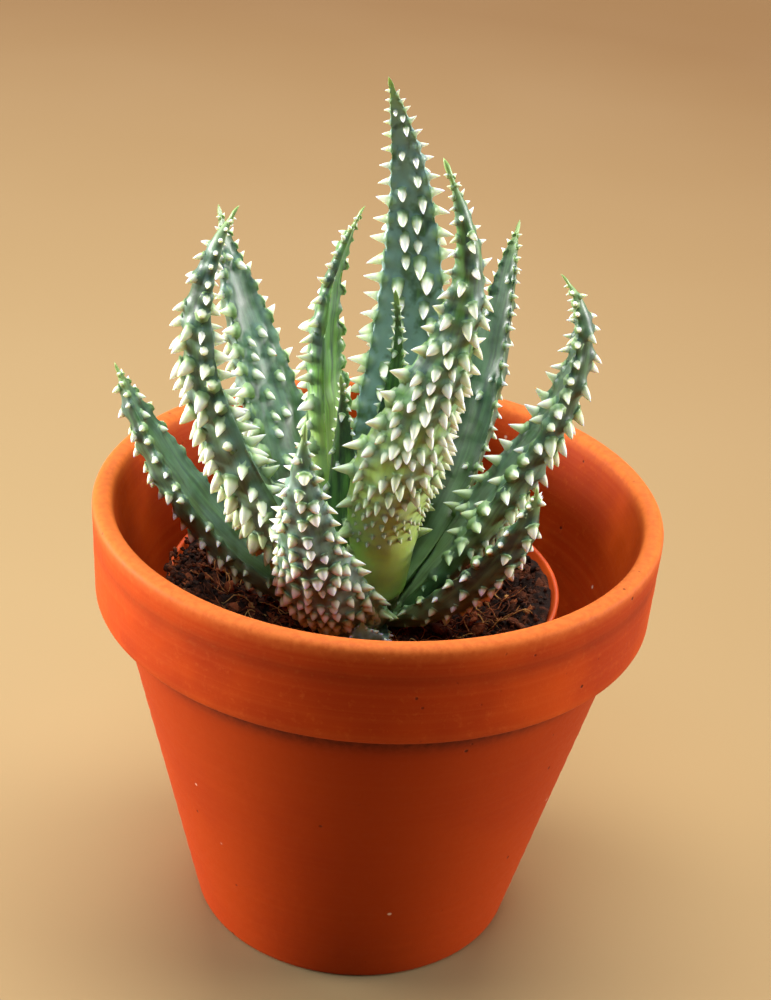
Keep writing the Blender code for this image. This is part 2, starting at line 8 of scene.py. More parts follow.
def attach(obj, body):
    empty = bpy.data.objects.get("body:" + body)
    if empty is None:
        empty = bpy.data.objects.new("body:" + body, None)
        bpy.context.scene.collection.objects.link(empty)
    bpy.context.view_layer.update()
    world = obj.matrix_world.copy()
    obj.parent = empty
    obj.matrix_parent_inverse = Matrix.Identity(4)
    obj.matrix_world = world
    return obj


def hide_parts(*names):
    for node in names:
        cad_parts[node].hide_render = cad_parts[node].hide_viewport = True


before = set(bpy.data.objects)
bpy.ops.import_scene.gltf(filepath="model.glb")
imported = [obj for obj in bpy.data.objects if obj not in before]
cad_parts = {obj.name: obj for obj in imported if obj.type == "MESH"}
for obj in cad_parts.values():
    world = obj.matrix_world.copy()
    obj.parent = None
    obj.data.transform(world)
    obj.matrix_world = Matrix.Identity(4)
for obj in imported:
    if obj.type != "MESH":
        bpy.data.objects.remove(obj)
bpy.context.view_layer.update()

# Dresses the potted aloe. Sizes in the settings are in millimetres, headings in degrees.
# A heading turns from the right, 0, to the back of the plant, 90.
mm = 0.001
seed = 11
up = np.array([0.0, 0.0, 1.0])
noFaces = np.zeros((0, 3), int)


# Meshes out of arrays

def signedVolume(points, quads, triangles):
    # sum over the triangles of (a . b x c) / 6
    halves = np.concatenate([quads[:, :3], quads[:, [0, 2, 3]], triangles])
    a, b, c = (points[halves[:, i]] for i in range(3))
    return float((a * np.cross(b, c)).sum() / 6)


def wallFaces(rows, sides, closedRows=False):
    # quads between neighbouring rings, each ring closed on itself
    last = rows if closedRows else rows - 1
    row, side = np.meshgrid(np.arange(last), np.arange(sides), indexing="ij")
    here = row * sides
    above = (row + 1) % rows * sides
    beside = (side + 1) % sides
    return np.stack([here + side, here + beside, above + beside, above + side], axis=-1).reshape(-1, 4)


def fanFaces(ring, pole, sides, turned=False):
    # triangles between a ring, given by its first point, and a pole
    side = np.arange(sides)
    beside = (side + 1) % sides
    order = (beside, side) if turned else (side, beside)
    return np.stack([ring + order[0], ring + order[1], np.full(sides, pole)], axis=-1)


def closedTube(rings, start, end):
    # rings of points with a pole at each end, faces pointing outwards
    rows, sides = rings.shape[:2]
    points = np.concatenate([rings.reshape(-1, 3), start[None], end[None]])
    quads = wallFaces(rows, sides)
    triangles = np.concatenate([
        fanFaces(0, rows * sides, sides, turned=True),
        fanFaces((rows - 1) * sides, rows * sides + 1, sides),
    ])
    if signedVolume(points, quads, triangles) < 0:
        quads = quads[:, ::-1]
        triangles = triangles[:, ::-1]
    return points, quads, triangles


def manyTubes(rings, starts, ends):
    # the same for many alike tubes at once: rings is (tubes, rows, sides, 3)
    tubes, rows, sides = rings.shape[:3]
    each = rows * sides + 2
    quads, triangles = closedTube(rings[0], starts[0], ends[0])[1:]
    points = np.concatenate([rings.reshape(tubes, -1, 3), starts[:, None], ends[:, None]], axis=1)
    shift = (np.arange(tubes) * each)[:, None, None]
    return points.reshape(-1, 3), (quads + shift).reshape(-1, 4), (triangles + shift).reshape(-1, 3)


def makeMesh(name, points, quads, triangles, values=None):
    # values are attributes of the points: numbers or vectors
    mesh = bpy.data.meshes.new(name)
    mesh.vertices.add(len(points))
    mesh.vertices.foreach_set("co", points.astype(np.float32).ravel())
    corners = np.concatenate([quads.ravel(), triangles.ravel()]).astype(np.int32)
    starts = np.concatenate([np.arange(len(quads)) * 4, len(quads) * 4 + np.arange(len(triangles)) * 3])
    mesh.loops.add(len(corners))
    mesh.loops.foreach_set("vertex_index", corners)
    mesh.polygons.add(len(starts))
    mesh.polygons.foreach_set("loop_start", starts.astype(np.int32))
    mesh.update(calc_edges=True)
    mesh.shade_smooth()
    for key, value in (values or {}).items():
        kind, field = ("FLOAT_VECTOR", "vector") if value.ndim == 2 else ("FLOAT", "value")
        data = mesh.attributes.new(key, kind, "POINT").data
        data.foreach_set(field, value.astype(np.float32).ravel())
    return mesh


def addObject(name, data):
    thing = bpy.data.objects.new(name, data)
    bpy.context.scene.collection.objects.link(thing)
    return thing


def addPiece(name, mesh, finish, slotName, *replaced):
    piece = addObject(name, mesh)
    mesh.materials.append(finish)
    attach(piece, "root")
    if replaced:
        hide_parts(*replaced)
    return piece


# Helpers for arrays

# how many plane waves are mixed, their lengths as shares of the one asked for, and what divides them
waveMix = {"count": 24, "lengths": (0.7, 1.3), "calm": 1.6}


def waves(places, length, seedNumber):
    # smooth noise between about -1 and 1: plane waves in random directions, added up
    draw = np.random.default_rng(seedNumber)
    count = waveMix["count"]
    ways = unit(draw.normal(size=(count, places.shape[-1])))
    rates = math.tau / length * draw.uniform(*waveMix["lengths"], count)
    starts = draw.uniform(0, math.tau, count)
    total = np.sin(places @ (ways * rates[:, None]).T + starts).sum(axis=-1)
    return total / math.sqrt(count / 2) / waveMix["calm"]


def hill(distance, width):
    # a bell of height 1
    return np.exp(-(distance / width) ** 2)


def unit(vectors):
    return vectors / np.linalg.norm(vectors, axis=-1, keepdims=True)


def equalAngles(sides):
    return np.arange(sides) * math.tau / sides


def aroundCircle(sides):
    # directions (cos a, sin a) at equal steps
    angles = equalAngles(sides)
    return np.stack([np.cos(angles), np.sin(angles)], axis=-1)


def lifted(spots, level):
    # points over flat spots, at a level
    return np.concatenate([spots, np.broadcast_to(level, spots.shape[:-1])[..., None]], axis=-1)


# Materials

def asLight(value):
    # one screen value of 0 to 255 as light
    return ((value / 255 + 0.055) / 1.055) ** 2.4 if value > 10 else value / 255 / 12.92


def linear(*colour):
    # the same for red, green and blue
    return tuple(asLight(value) for value in colour)


class Finish:
    # one material and short ways to add and link its nodes
    def __init__(self, name, roughness, **fixed):
        self.material = bpy.data.materials.new(name)
        self.material.use_nodes = True
        self.tree = self.material.node_tree
        self.shader = self.tree.nodes["Principled BSDF"]
        self.shader.inputs["Roughness"].default_value = roughness
        for key, value in fixed.items():
            self.shader.inputs[key.replace("_", " ")].default_value = value

    def add(self, kind, output, links=None, **fixed):
        node = self.tree.nodes.new(kind)
        for key, value in fixed.items():
            setattr(node, key, value)
        for key, value in (links or {}).items():
            if isinstance(value, bpy.types.NodeSocket):
                self.tree.links.new(value, node.inputs[key])
            else:
                node.inputs[key].default_value = value
        return node.outputs[output]

    def set(self, key, socket):
        self.tree.links.new(socket, self.shader.inputs[key])

    def place(self):
        return self.add("ShaderNodeTexCoord", "Object")

    def attribute(self, name, output="Fac"):
        return self.add("ShaderNodeAttribute", output, attribute_name=name)

    def noise(self, vector, scale, detail=3.0, rough=0.55):
        return self.add("ShaderNodeTexNoise", "Fac", {
            "Vector": vector, "Scale": scale, "Detail": detail, "Roughness": rough})

    def cells(self, vector, scale):
        return self.add("ShaderNodeTexVoronoi", "Distance", {"Vector": vector, "Scale": scale})

    def stretched(self, vector, scale):
        return self.add("ShaderNodeMapping", "Vector", {"Vector": vector, "Scale": scale})

    def moved(self, vector, by):
        return self.add("ShaderNodeMapping", "Vector", {"Vector": vector, "Location": by})

    def span(self, value, low, high, start=0.0, end=1.0, smooth=True):
        # from start to end as the value goes from low to high
        return self.add("ShaderNodeMapRange", "Result", {
            "Value": value, "From Min": low, "From Max": high, "To Min": start, "To Max": end},
            interpolation_type="SMOOTHSTEP" if smooth else "LINEAR")

    def maths(self, how, first, second):
        return self.add("ShaderNodeMath", 0, {0: first, 1: second}, operation=how)

    def plus(self, first, second):
        return self.maths("ADD", first, second)

    def minus(self, first, second):
        return self.maths("SUBTRACT", first, second)

    def times(self, first, second):
        return self.maths("MULTIPLY", first, second)

    def mix(self, share, first, second):
        # colours: socket 6 and 7 of the Mix node in its colour mode
        colours = [(*c, 1.0) if isinstance(c, tuple) else c for c in (first, second)]
        return self.add("ShaderNodeMix", 2, {0: share, 6: colours[0], 7: colours[1]}, data_type="RGBA")

    def ramp(self, value, colours, stops):
        # through the named colours at the given spots
        ramp = self.add("ShaderNodeValToRGB", "Color", {"Fac": value})
        elements = ramp.node.color_ramp.elements
        for index, (spot, key) in enumerate(stops):
            stop = elements[index] if index < 2 else elements.new(spot)
            stop.position = spot
            stop.color = (*colours[key], 1.0)
        return ramp

    def bump(self, height, strength, distance):
        return self.add("ShaderNodeBump", "Normal", {
            "Height": height, "Strength": strength, "Distance": distance})


# Turned pieces

arcPoints = {"fine": 7, "coarse": 4, "largeRounding": 0.5}    # fine above the large rounding


def roundedPath(corners, step):
    # a closed outline of (radius, height, rounding): each corner is a parabolic arc between the
    # points where its rounding begins and ends, and the straight runs are cut to the step
    corners = np.array(corners, float)
    spots = corners[:, :2]
    first = spots + unit(np.roll(spots, 1, axis=0) - spots) * corners[:, 2:]
    second = spots + unit(np.roll(spots, -1, axis=0) - spots) * corners[:, 2:]
    path = []
    for i, spot in enumerate(spots):
        count = arcPoints["fine" if corners[i, 2] > arcPoints["largeRounding"] else "coarse"]
        u = np.linspace(0, 1, count)[:, None]
        path.append((1 - u) ** 2 * first[i] + 2 * u * (1 - u) * spot + u ** 2 * second[i])
        run = first[(i + 1) % len(spots)] - second[i]
        pieces = max(1, int(np.linalg.norm(run) / step))
        path.append(second[i] + run * (np.arange(1, pieces) / pieces)[:, None])
    return np.concatenate(path)


def turnedBody(path, sides, centre, wobble):
    # the outline carried round the upright axis: x = r cos a, y = r sin a, with a small wobble of r
    angles = equalAngles(sides)
    radius = path[:, 0][:, None] + wobble(path[:, 1][:, None], angles[None])
    x = centre[0] + radius * np.cos(angles)
    y = centre[1] + radius * np.sin(angles)
    z = np.broadcast_to(path[:, 1][:, None], x.shape)
    points = np.stack([x, y, z], axis=-1).reshape(-1, 3) * mm
    quads = wallFaces(len(path), sides, closedRows=True)
    if signedVolume(points, quads, noFaces) < 0:
        quads = quads[:, ::-1]
    return points, quads, noFaces


# Clay pot

clayPot = {
    "rimRadius": 45.0, "height": 75.7, "bandHeight": 17.0, "bandRadius": 44.4, "neckRadius": 40.9,
    "footRadius": 26.7, "lipRadius": 42.0, "floor": 6.0, "drainRadius": 5.0,
    # how far the outline's corners are rounded
    "lipRounding": 1.4, "bandRounding": 1.5, "neckRounding": 0.25, "footRounding": 1.1,
    "floorRounding": 3.0, "drainRounding": 0.5, "drainFootRounding": 0.3,
    "sides": 224, "step": 1.2,
    # slow swells round the pot: turns, start, size; faint rings up it: rate, start, size
    "unevenness": 0.10, "evenFoot": 3.0,
    "swells": ((2, 0.8, 1.0), (3, 2.1, 0.6)), "rings": ((1.9, 0.0, 0.25), (3.7, 1.0, 0.2)),
    # paler rubbed edges, on the lip also a painted highlight: height under the rim or over the band's
    # foot, width, strength
    "lipWearAndHighlight": (0.0, 1.6, 1.0), "bandEdge": (0.6, 1.2, 0.15),
    # dark lines round the outside, a painted shadow under the band that is partly a dark stain and the
    # painted shade of a shallow groove across the band: height over the band's foot, width, strength
    "lines": ((-2.2, 1.9, 0.85), (11.5, 1.2, 0.28)), "wallShadeFade": 2.0,
    # how far out from the inner wall the outside begins, and the band from the neck
    "outsideFrom": 1.5, "bandFrom": 1.0,
    "colour": linear(190, 67, 5), "deep": linear(163, 49, 4), "dusty": linear(222, 116, 50),
    "pore": linear(70, 26, 14), "fleck": linear(240, 214, 190),
    # the wall below the band: painted shade; the dark lines: painted shadow under the band, partly a
    # stain
    "damp": linear(151, 48, 2), "grime": linear(52, 20, 11),
}


def clayFinish(look):
    clay = Finish("firedClay", 0.62, Specular_IOR_Level=0.1)
    place = clay.place()
    broad = clay.noise(place, 38.0, 3.0)
    fine = clay.noise(place, 900.0, 4.0, 0.65)
    grain = clay.noise(place, 5200.0, 2.0)
    # the marks of turning: noise along the height alone, a little warped
    height = clay.add("ShaderNodeSeparateXYZ", "Z", {"Vector": place})
    warped = clay.plus(height, clay.times(broad, 0.0012))
    lines = clay.add("ShaderNodeTexNoise", "Fac", {"W": warped, "Scale": 900.0, "Detail": 3.0},
                     noise_dimensions="1D")
    colour = clay.mix(clay.span(broad, 0.36, 0.66), look["deep"], look["colour"])
    colour = clay.mix(clay.span(lines, 0.40, 0.75, 0.0, 0.07), colour, look["dusty"])
    colour = clay.mix(clay.span(fine, 0.52, 0.78, 0.0, 0.18), colour, look["dusty"])
    edge = clay.attribute("edge")
    # painted shade: the wall below the band is painted darker
    damp = clay.times(clay.attribute("damp"), clay.span(broad, 0.3, 0.7, 0.55, 0.8))
    colour = clay.mix(damp, colour, look["damp"])
    # painted shadow under the band, partly a dark stain, and painted shade of a groove across it
    grime = clay.times(clay.attribute("grime"), clay.span(fine, 0.3, 0.7, 0.7, 1.0))
    colour = clay.mix(grime, colour, look["grime"])
    # rubbed edges are paler; on the lip the paleness is also a painted highlight
    wornAndHighlight = clay.times(edge, clay.span(fine, 0.30, 0.62, 0.65, 1.0))
    colour = clay.mix(clay.times(wornAndHighlight, 0.8), colour, look["dusty"])
    # dark pores in some places, and a few pale flecks
    rare = clay.span(clay.noise(place, 140.0, 2.0), 0.56, 0.64)
    pore = clay.times(clay.span(clay.cells(place, 330.0), 0.13, 0.06), rare)
    colour = clay.mix(clay.times(pore, 0.85), colour, look["pore"])
    farCells = clay.cells(clay.moved(place, (0.31, 0.7, 0.2)), 95.0)
    fleck = clay.span(farCells, 0.045, 0.02)
    clay.set("Base Color", clay.mix(clay.times(fleck, 0.7), colour, look["fleck"]))
    clay.set("Roughness", clay.span(fine, 0.3, 0.7, 0.55, 0.74, smooth=False))
    relief = clay.plus(clay.times(lines, 0.11), clay.times(fine, 0.35))
    relief = clay.plus(relief, clay.times(grain, 0.18))
    relief = clay.minus(relief, clay.times(pore, 1.2))
    clay.set("Normal", clay.bump(relief, 0.55, 0.00012))
    return clay.material


def buildClayPot(look):
    bandFoot = look["height"] - look["bandHeight"]
    slope = (look["neckRadius"] - look["footRadius"]) / bandFoot
    floorRadius = look["lipRadius"] - slope * (look["height"] - look["floor"])
    path = roundedPath([
        (look["drainRadius"], 0.0, look["drainFootRounding"]),
        (look["footRadius"], 0.0, look["footRounding"]),
        (look["neckRadius"], bandFoot, look["neckRounding"]),
        (look["bandRadius"], bandFoot, look["bandRounding"]),
        (look["rimRadius"], look["height"], look["lipRounding"]),
        (look["lipRadius"], look["height"], look["lipRounding"]),
        (floorRadius, look["floor"], look["floorRounding"]),
        (look["drainRadius"], look["floor"], look["drainRounding"]),
    ], look["step"])

    def wobble(height, angle):
        # sines round the pot, growing towards the rim, and sines of the height, both 0 at the foot
        share = height / look["height"]
        broad, narrow = (size * np.sin(turns * angle + start + share * index)
                         for index, (turns, start, size) in enumerate(look["swells"]))
        rings = sum(size * np.sin(height * rate + start) for rate, start, size in look["rings"])
        foot = np.clip(height / look["evenFoot"], 0, 1)
        return look["unevenness"] * (share * (broad + narrow) + rings) * foot

    points, quads, none = turnedBody(path, look["sides"], (0.0, 0.0), wobble)
    radius, height = path.T
    outside = radius > look["lipRadius"] - slope * (look["height"] - height) + look["outsideFrom"]
    # the lip's paler edge: rubbed wear and a painted highlight
    under, width, strength = look["lipWearAndHighlight"]
    edge = strength * hill(height - look["height"] + under, width)
    above, width, strength = look["bandEdge"]
    band = radius > look["neckRadius"] + look["bandFrom"]
    edge = edge + strength * hill(height - bandFoot - above, width) * band
    # painted shade: 1 on the outside below the band, where the wall is painted darker as if shaded
    damp = outside * np.clip((bandFoot - height) / look["wallShadeFade"], 0, 1)
    # dark lines: painted shadow under the band, partly a stain, and painted shade of a groove across the
    # band
    grime = outside * sum(strength * hill(height - bandFoot - above, width)
                          for above, width, strength in look["lines"])
    values = {"edge": edge, "damp": damp, "grime": grime}
    values = {key: np.repeat(value, look["sides"]) for key, value in values.items()}
    mesh = makeMesh("clayPot", points, quads, none, values)
    addPiece("clayPot", mesh, clayFinish(look), "fired_clay", "clay_pot")


buildClayPot(clayPot)
print("clay pot turned")


# Plastic plant pot

plantPot = {
    "centre": (-1.5, 1.0), "rimRadius": 31.6, "rimHeight": 3.0, "top": 60.0, "foot": 6.3,
    "footRadius": 21.6, "wall": 0.9, "rimEdge": 0.7, "rimTaper": 0.1, "rimSlant": 1.0,
    "footLift": 1.2, "middleHole": 2.0, "sides": 160, "step": 1.2,
    # how far the outline's corners are rounded, in their order
    "roundings": (0.2, 0.2, 0.1, 0.3, 0.35, 0.35, 0.6, 0.6, 0.2, 0.2, 0.3),
    "holes": 5, "holeRadius": 1.8, "holeCircle": 13.0, "holeSides": 24, "drillReach": 3,
    # out of round near the rim: size, turns, start, height where it begins, and over which it grows
    "bend": (0.12, 2, 1.4, 40, 20), "sharpAngle": 40,
    "colour": linear(230, 94, 24), "dull": linear(200, 70, 18),
}


def plasticFinish(look):
    plastic = Finish("orangePlastic", 0.42, Specular_IOR_Level=0.3)
    place = plastic.place()
    broad = plastic.noise(place, 55.0, 3.0)
    scuffs = plastic.noise(plastic.stretched(place, (1.0, 1.0, 6.0)), 700.0, 4.0, 0.7)
    colour = plastic.mix(plastic.span(broad, 0.35, 0.65), look["dull"], look["colour"])
    scuffed = plastic.span(scuffs, 0.55, 0.8, 0.0, 0.4)
    plastic.set("Base Color", plastic.mix(scuffed, colour, look["dull"]))
    plastic.set("Roughness", plastic.span(scuffs, 0.3, 0.75, 0.36, 0.58, smooth=False))
    plastic.set("Normal", plastic.bump(scuffs, 0.25, 0.00006))
    return plastic.material


def drillHole(piece, look, floor, angle):
    # a round plug through the floor, cut away
    middle = np.array(look["centre"]) + look["holeCircle"] * np.array([math.cos(angle), math.sin(angle)])
    disc = middle + look["holeRadius"] * aroundCircle(look["holeSides"])
    levels = (floor - look["drillReach"], floor + look["drillReach"])
    rings = np.stack([lifted(disc, level) for level in levels]) * mm
    drillParts = closedTube(rings, rings[0].mean(axis=0), rings[1].mean(axis=0))
    drill = addObject("drainDrill", makeMesh("drainDrill", *drillParts))
    cut = piece.modifiers.new("drain", "BOOLEAN")
    cut.operation = "DIFFERENCE"
    cut.object = drill
    with bpy.context.temp_override(object=piece, active_object=piece):
        bpy.ops.object.modifier_apply(modifier=cut.name)
    bpy.data.objects.remove(drill, do_unlink=True)


def buildPlantPot(look):
    top, wall, foot, rim = look["top"], look["wall"], look["foot"], look["rimRadius"]
    floor = foot + look["footLift"]
    rimFoot = top - look["rimHeight"]

    def radiusAt(height):
        share = (height - foot) / (top - foot)
        return look["footRadius"] + (rim - wall - look["footRadius"]) * share

    corners = (
        (look["footRadius"] - wall, foot),
        (look["footRadius"], foot),
        (radiusAt(rimFoot), rimFoot),
        (rim - look["rimTaper"], rimFoot),
        (rim, top),
        (rim - look["rimEdge"], top),
        (radiusAt(rimFoot) - wall, rimFoot - look["rimSlant"]),
        (radiusAt(floor + wall) - wall, floor + wall),
        (look["middleHole"], floor + wall),
        (look["middleHole"], floor),
        (look["footRadius"] - wall, floor),
    )
    path = roundedPath([(*corner, rounding) for corner, rounding in zip(corners, look["roundings"])],
                       look["step"])
    size, turns, start, bendFrom, bendOver = look["bend"]
    parts = turnedBody(path, look["sides"], look["centre"], lambda height, angle: (
        size * np.sin(turns * angle + start) * np.clip((height - bendFrom) / bendOver, 0, 1)))
    piece = addPiece("plantPot", makeMesh("plantPot", *parts), plasticFinish(look),
                     "orange_plastic", "nursery_pot")
    for index in range(look["holes"]):
        drillHole(piece, look, floor, math.tau * (index + 0.5) / look["holes"])
    piece.data.set_sharp_from_angle(angle=math.radians(look["sharpAngle"]))


buildPlantPot(plantPot)
print("plant pot turned")


# Soil

soil = {
    "top": 55.4, "bottom": 9.0, "radiusTop": 28.6, "radiusBottom": 20.6,
    "rings": 96, "sides": 256, "floorCells": 10,
    "roughness": 0.225, "waves": (0.9, 1.1, 1.7), "shift": 1.3,
    # wide hills: heading and distance from the plant pot's middle, height, spread
    "clumps": ((152, 24, 3.4, 4.0), (20, 22, 1.0, 5.0), (262, 24, 0.9, 4.0)),
    # the bank at the plant pot's wall: height, width, outward lean, share of it at front and back
    "bank": 4.0, "bankWidth": 7.0, "bankLean": 0.45, "bankLow": 0.3,
    # crumbled surface: length, height and seed of its waves, and how soon they set in at the wall
    "crumbling": ((5.2, 0.45, 3), (2.3, 0.30, 4), (1.15, 0.16, 5)), "setIn": 12, "roundStem": 0.6,
    "open": (0.03, 1.0),    # smallest and largest share of the surface that loose pieces lie on
    # brightness along the stops, and length, size and seed of its waves
    "tone": 0.16, "toneWaves": ((4.0, 0.18, 8), (1.2, 0.12, 9)),
    "dark": linear(36, 19, 11), "brown": linear(102, 52, 29), "red": linear(158, 80, 42),
    "gold": linear(214, 160, 88),
    "stops": ((0.12, "dark"), (0.42, "brown"), (0.72, "red"), (0.95, "gold")),
}
# the stem, whose place the soil and the leaves need too
stem = {
    "centre": (-0.5, -3.0), "foot": 45.0, "footRadius": 4.2, "footRise": 2.0, "radius": 4.7,
    "shoulder": 60.0, "neck": 63.0, "neckRadius": 4.05, "top": 65.5, "topRadius": 1.5, "cap": 0.4,
    "rings": 60, "sides": 72, "scars": (0.14, 3.2, 2, 1.5),    # size, rate, turns, warp
    "bark": linear(86, 78, 40), "paleBark": linear(128, 126, 62), "patches": linear(72, 52, 34),
}


def potSpot(angle, reach):
    # where an angle and a distance from the plant pot's middle lead
    return plantPot["centre"][0] + reach * np.cos(angle), plantPot["centre"][1] + reach * np.sin(angle)


def soilHeight(x, y):
    # level, two crossed waves of small lumps, and the larger clumps, as wide hills
    alongX, alongY, alongBoth = soil["waves"]
    lumps = np.sin(x * alongX + soil["shift"]) * np.sin(y * alongY) + np.sin((x + y) * alongBoth)
    level = soil["top"] + soil["roughness"] * lumps
    for heading, distance, tall, spread in soil["clumps"]:
        middleX, middleY = potSpot(math.radians(heading), distance)
        level = level + tall * hill(np.hypot(x - middleX, y - middleY), spread)
    return level


def soilBank(angle, reach):
    # the soil is banked up against the plant pot's wall, most of all at its left and right
    near = np.clip((reach - soil["radiusTop"]) / soil["bankWidth"] + 1, 0, 1)
    sides = soil["bankLow"] + (1 - soil["bankLow"]) * np.cos(angle) ** 2
    return soil["bank"] * near ** 2 * (3 - 2 * near) * sides


def soilWall(angle):
    # how far the open soil reaches, leaning out with the bank
    return soil["radiusTop"] + soil["bankLean"] * soilBank(angle, soil["radiusTop"])


def bankedHeight(x, y):
    awayX, awayY = x - plantPot["centre"][0], y - plantPot["centre"][1]
    return soilHeight(x, y) + soilBank(np.arctan2(awayY, awayX), np.hypot(awayX, awayY))


def crumbledHeight(x, y):
    # the same, with waves of about 5, 2 and 1 mm
    spots = np.stack([x, y], axis=-1)
    level = bankedHeight(x, y)
    for length, tall, number in soil["crumbling"]:
        level = level + tall * waves(spots, length, number)
    return level


def soilFinish(look):
    earth = Finish("pottingSoil", 0.9, Specular_IOR_Level=0.2)
    place = earth.place()
    mottled = earth.noise(place, 900.0, 4.0, 0.7)
    fine = earth.noise(place, 4200.0, 3.0, 0.6)
    mixed = earth.plus(earth.attribute("tone"), earth.times(earth.minus(mottled, 0.5), 0.55))
    earth.set("Base Color", earth.ramp(mixed, look, look["stops"]))
    earth.set("Normal", earth.bump(earth.plus(mottled, earth.times(fine, 0.5)), 0.9, 0.00035))
    earth.set("Roughness", earth.span(fine, 0.3, 0.7, 0.75, 0.98, smooth=False))
    return earth.material


def soilSpots(draw, count, wallGap):
    # even spread over the open soil, inside the plant pot's wall and outside its middle
    angle = draw.uniform(0, math.tau, count)
    reach = np.sqrt(draw.uniform(*soil["open"], count)) * (soilWall(angle) - wallGap)
    return potSpot(angle, reach)


def buildSoilBody(look, finish):
    # a disc of rings pulled from the pot's wall to the stem, closed below by a cone of the wall
    ways = aroundCircle(look["sides"])
    middle = np.array(plantPot["centre"])
    stemSpot = np.array(stem["centre"])
    wall = middle + ways * soilWall(equalAngles(look["sides"]))[:, None]
    hole = stemSpot + ways * (stem["radius"] - look["roundStem"])
    share = np.linspace(0, 1, look["rings"])[:, None, None]
    disc = wall * (1 - share) + hole * share
    # at the wall the surface is the plain one, so that it doesn't gape
    crumbled = np.minimum(1, share[..., 0] * look["setIn"])
    level = (crumbledHeight(disc[..., 0], disc[..., 1]) * crumbled
             + bankedHeight(disc[..., 0], disc[..., 1]) * (1 - crumbled))
    depth = np.linspace(0, 1, look["floorCells"])[:, None, None]
    sideSpots = (middle + ways * look["radiusBottom"]) * (1 - depth) + wall * depth
    sideLevel = look["bottom"] + (bankedHeight(wall[:, 0], wall[:, 1]) - look["bottom"]) * depth[..., 0]
    sideRings = lifted(sideSpots, sideLevel)[:-1]
    rings = np.concatenate([sideRings, lifted(disc, level), lifted(hole, stem["foot"])[None]]) * mm
    start = np.array([*middle, look["bottom"]]) * mm
    end = np.array([*stemSpot, stem["foot"]]) * mm
    points, quads, triangles = closedTube(rings, start, end)
    tone = look["tone"]
    for length, size, number in look["toneWaves"]:
        tone = tone + size * waves(points / mm, length, number)
    addPiece("soilBody", makeMesh("soilBody", points, quads, triangles, {"tone": tone}),
             finish, "potting_soil", "soil")


crumbs = {
    "lumps": 2700, "chips": 190, "heaped": 330, "wallGap": 0.9, "rings": 6, "sides": 7,
    # sizes and flatness of lumps and chips, how far they stand out, how narrow and tilted they are
    "least": 0.22, "larger": 0.75, "sizes": (1.2, 4.2), "chipSize": (0.7, 1.5),
    "flat": (0.55, 0.95), "chipFlat": (0.22, 0.4), "out": (-0.1, 0.75), "narrow": (0.5, 1.0),
    "tilt": 0.45, "pole": 0.95,
    # swelling of the radius: size, length of its waves, seed, and how far apart the lumps' waves start
    "swell": (0.38, 1.7, 21), "apart": 90,
    # the heap at the left: heading, spread, nearest and farthest reach; its heights at the nearest
    # reach, at two spots this far inside the farthest and at the farthest; their unevenness
    "heap": (192, 24, 27.0, 31.9), "crest": (1.6, 0.6), "heapHeights": (59.0, 60.1, 60.4, 59.9),
    "uneven": (-0.2, 0.25),
    # brightness of chips and of lumps
    "chipTone": (0.35, 0.85), "tone": 0.05, "brighter": 0.62, "tones": (1.3, 2.6),
}


def rotations(spin, tilt):
    # matrices that turn about the upright by spin, then about x and y by the tilts
    zero, one = np.zeros_like(spin), np.ones_like(spin)
    c, s = np.cos(spin), np.sin(spin)
    about = np.stack([c, -s, zero, s, c, zero, zero, zero, one], axis=-1).reshape(-1, 3, 3)
    c, s = np.cos(tilt[:, 0]), np.sin(tilt[:, 0])
    pitch = np.stack([one, zero, zero, zero, c, -s, zero, s, c], axis=-1).reshape(-1, 3, 3)
    c, s = np.cos(tilt[:, 1]), np.sin(tilt[:, 1])
    roll = np.stack([c, zero, s, zero, one, zero, -s, zero, c], axis=-1).reshape(-1, 3, 3)
    return roll @ pitch @ about


def coarseBall(rings, sides):
    # (sin p cos a, sin p sin a, cos p) without its poles
    polar = np.linspace(0, math.pi, rings)[1:-1, None]
    around = equalAngles(sides)
    return np.stack(np.broadcast_arrays(
        np.sin(polar) * np.cos(around), np.sin(polar) * np.sin(around), np.cos(polar)), axis=-1)


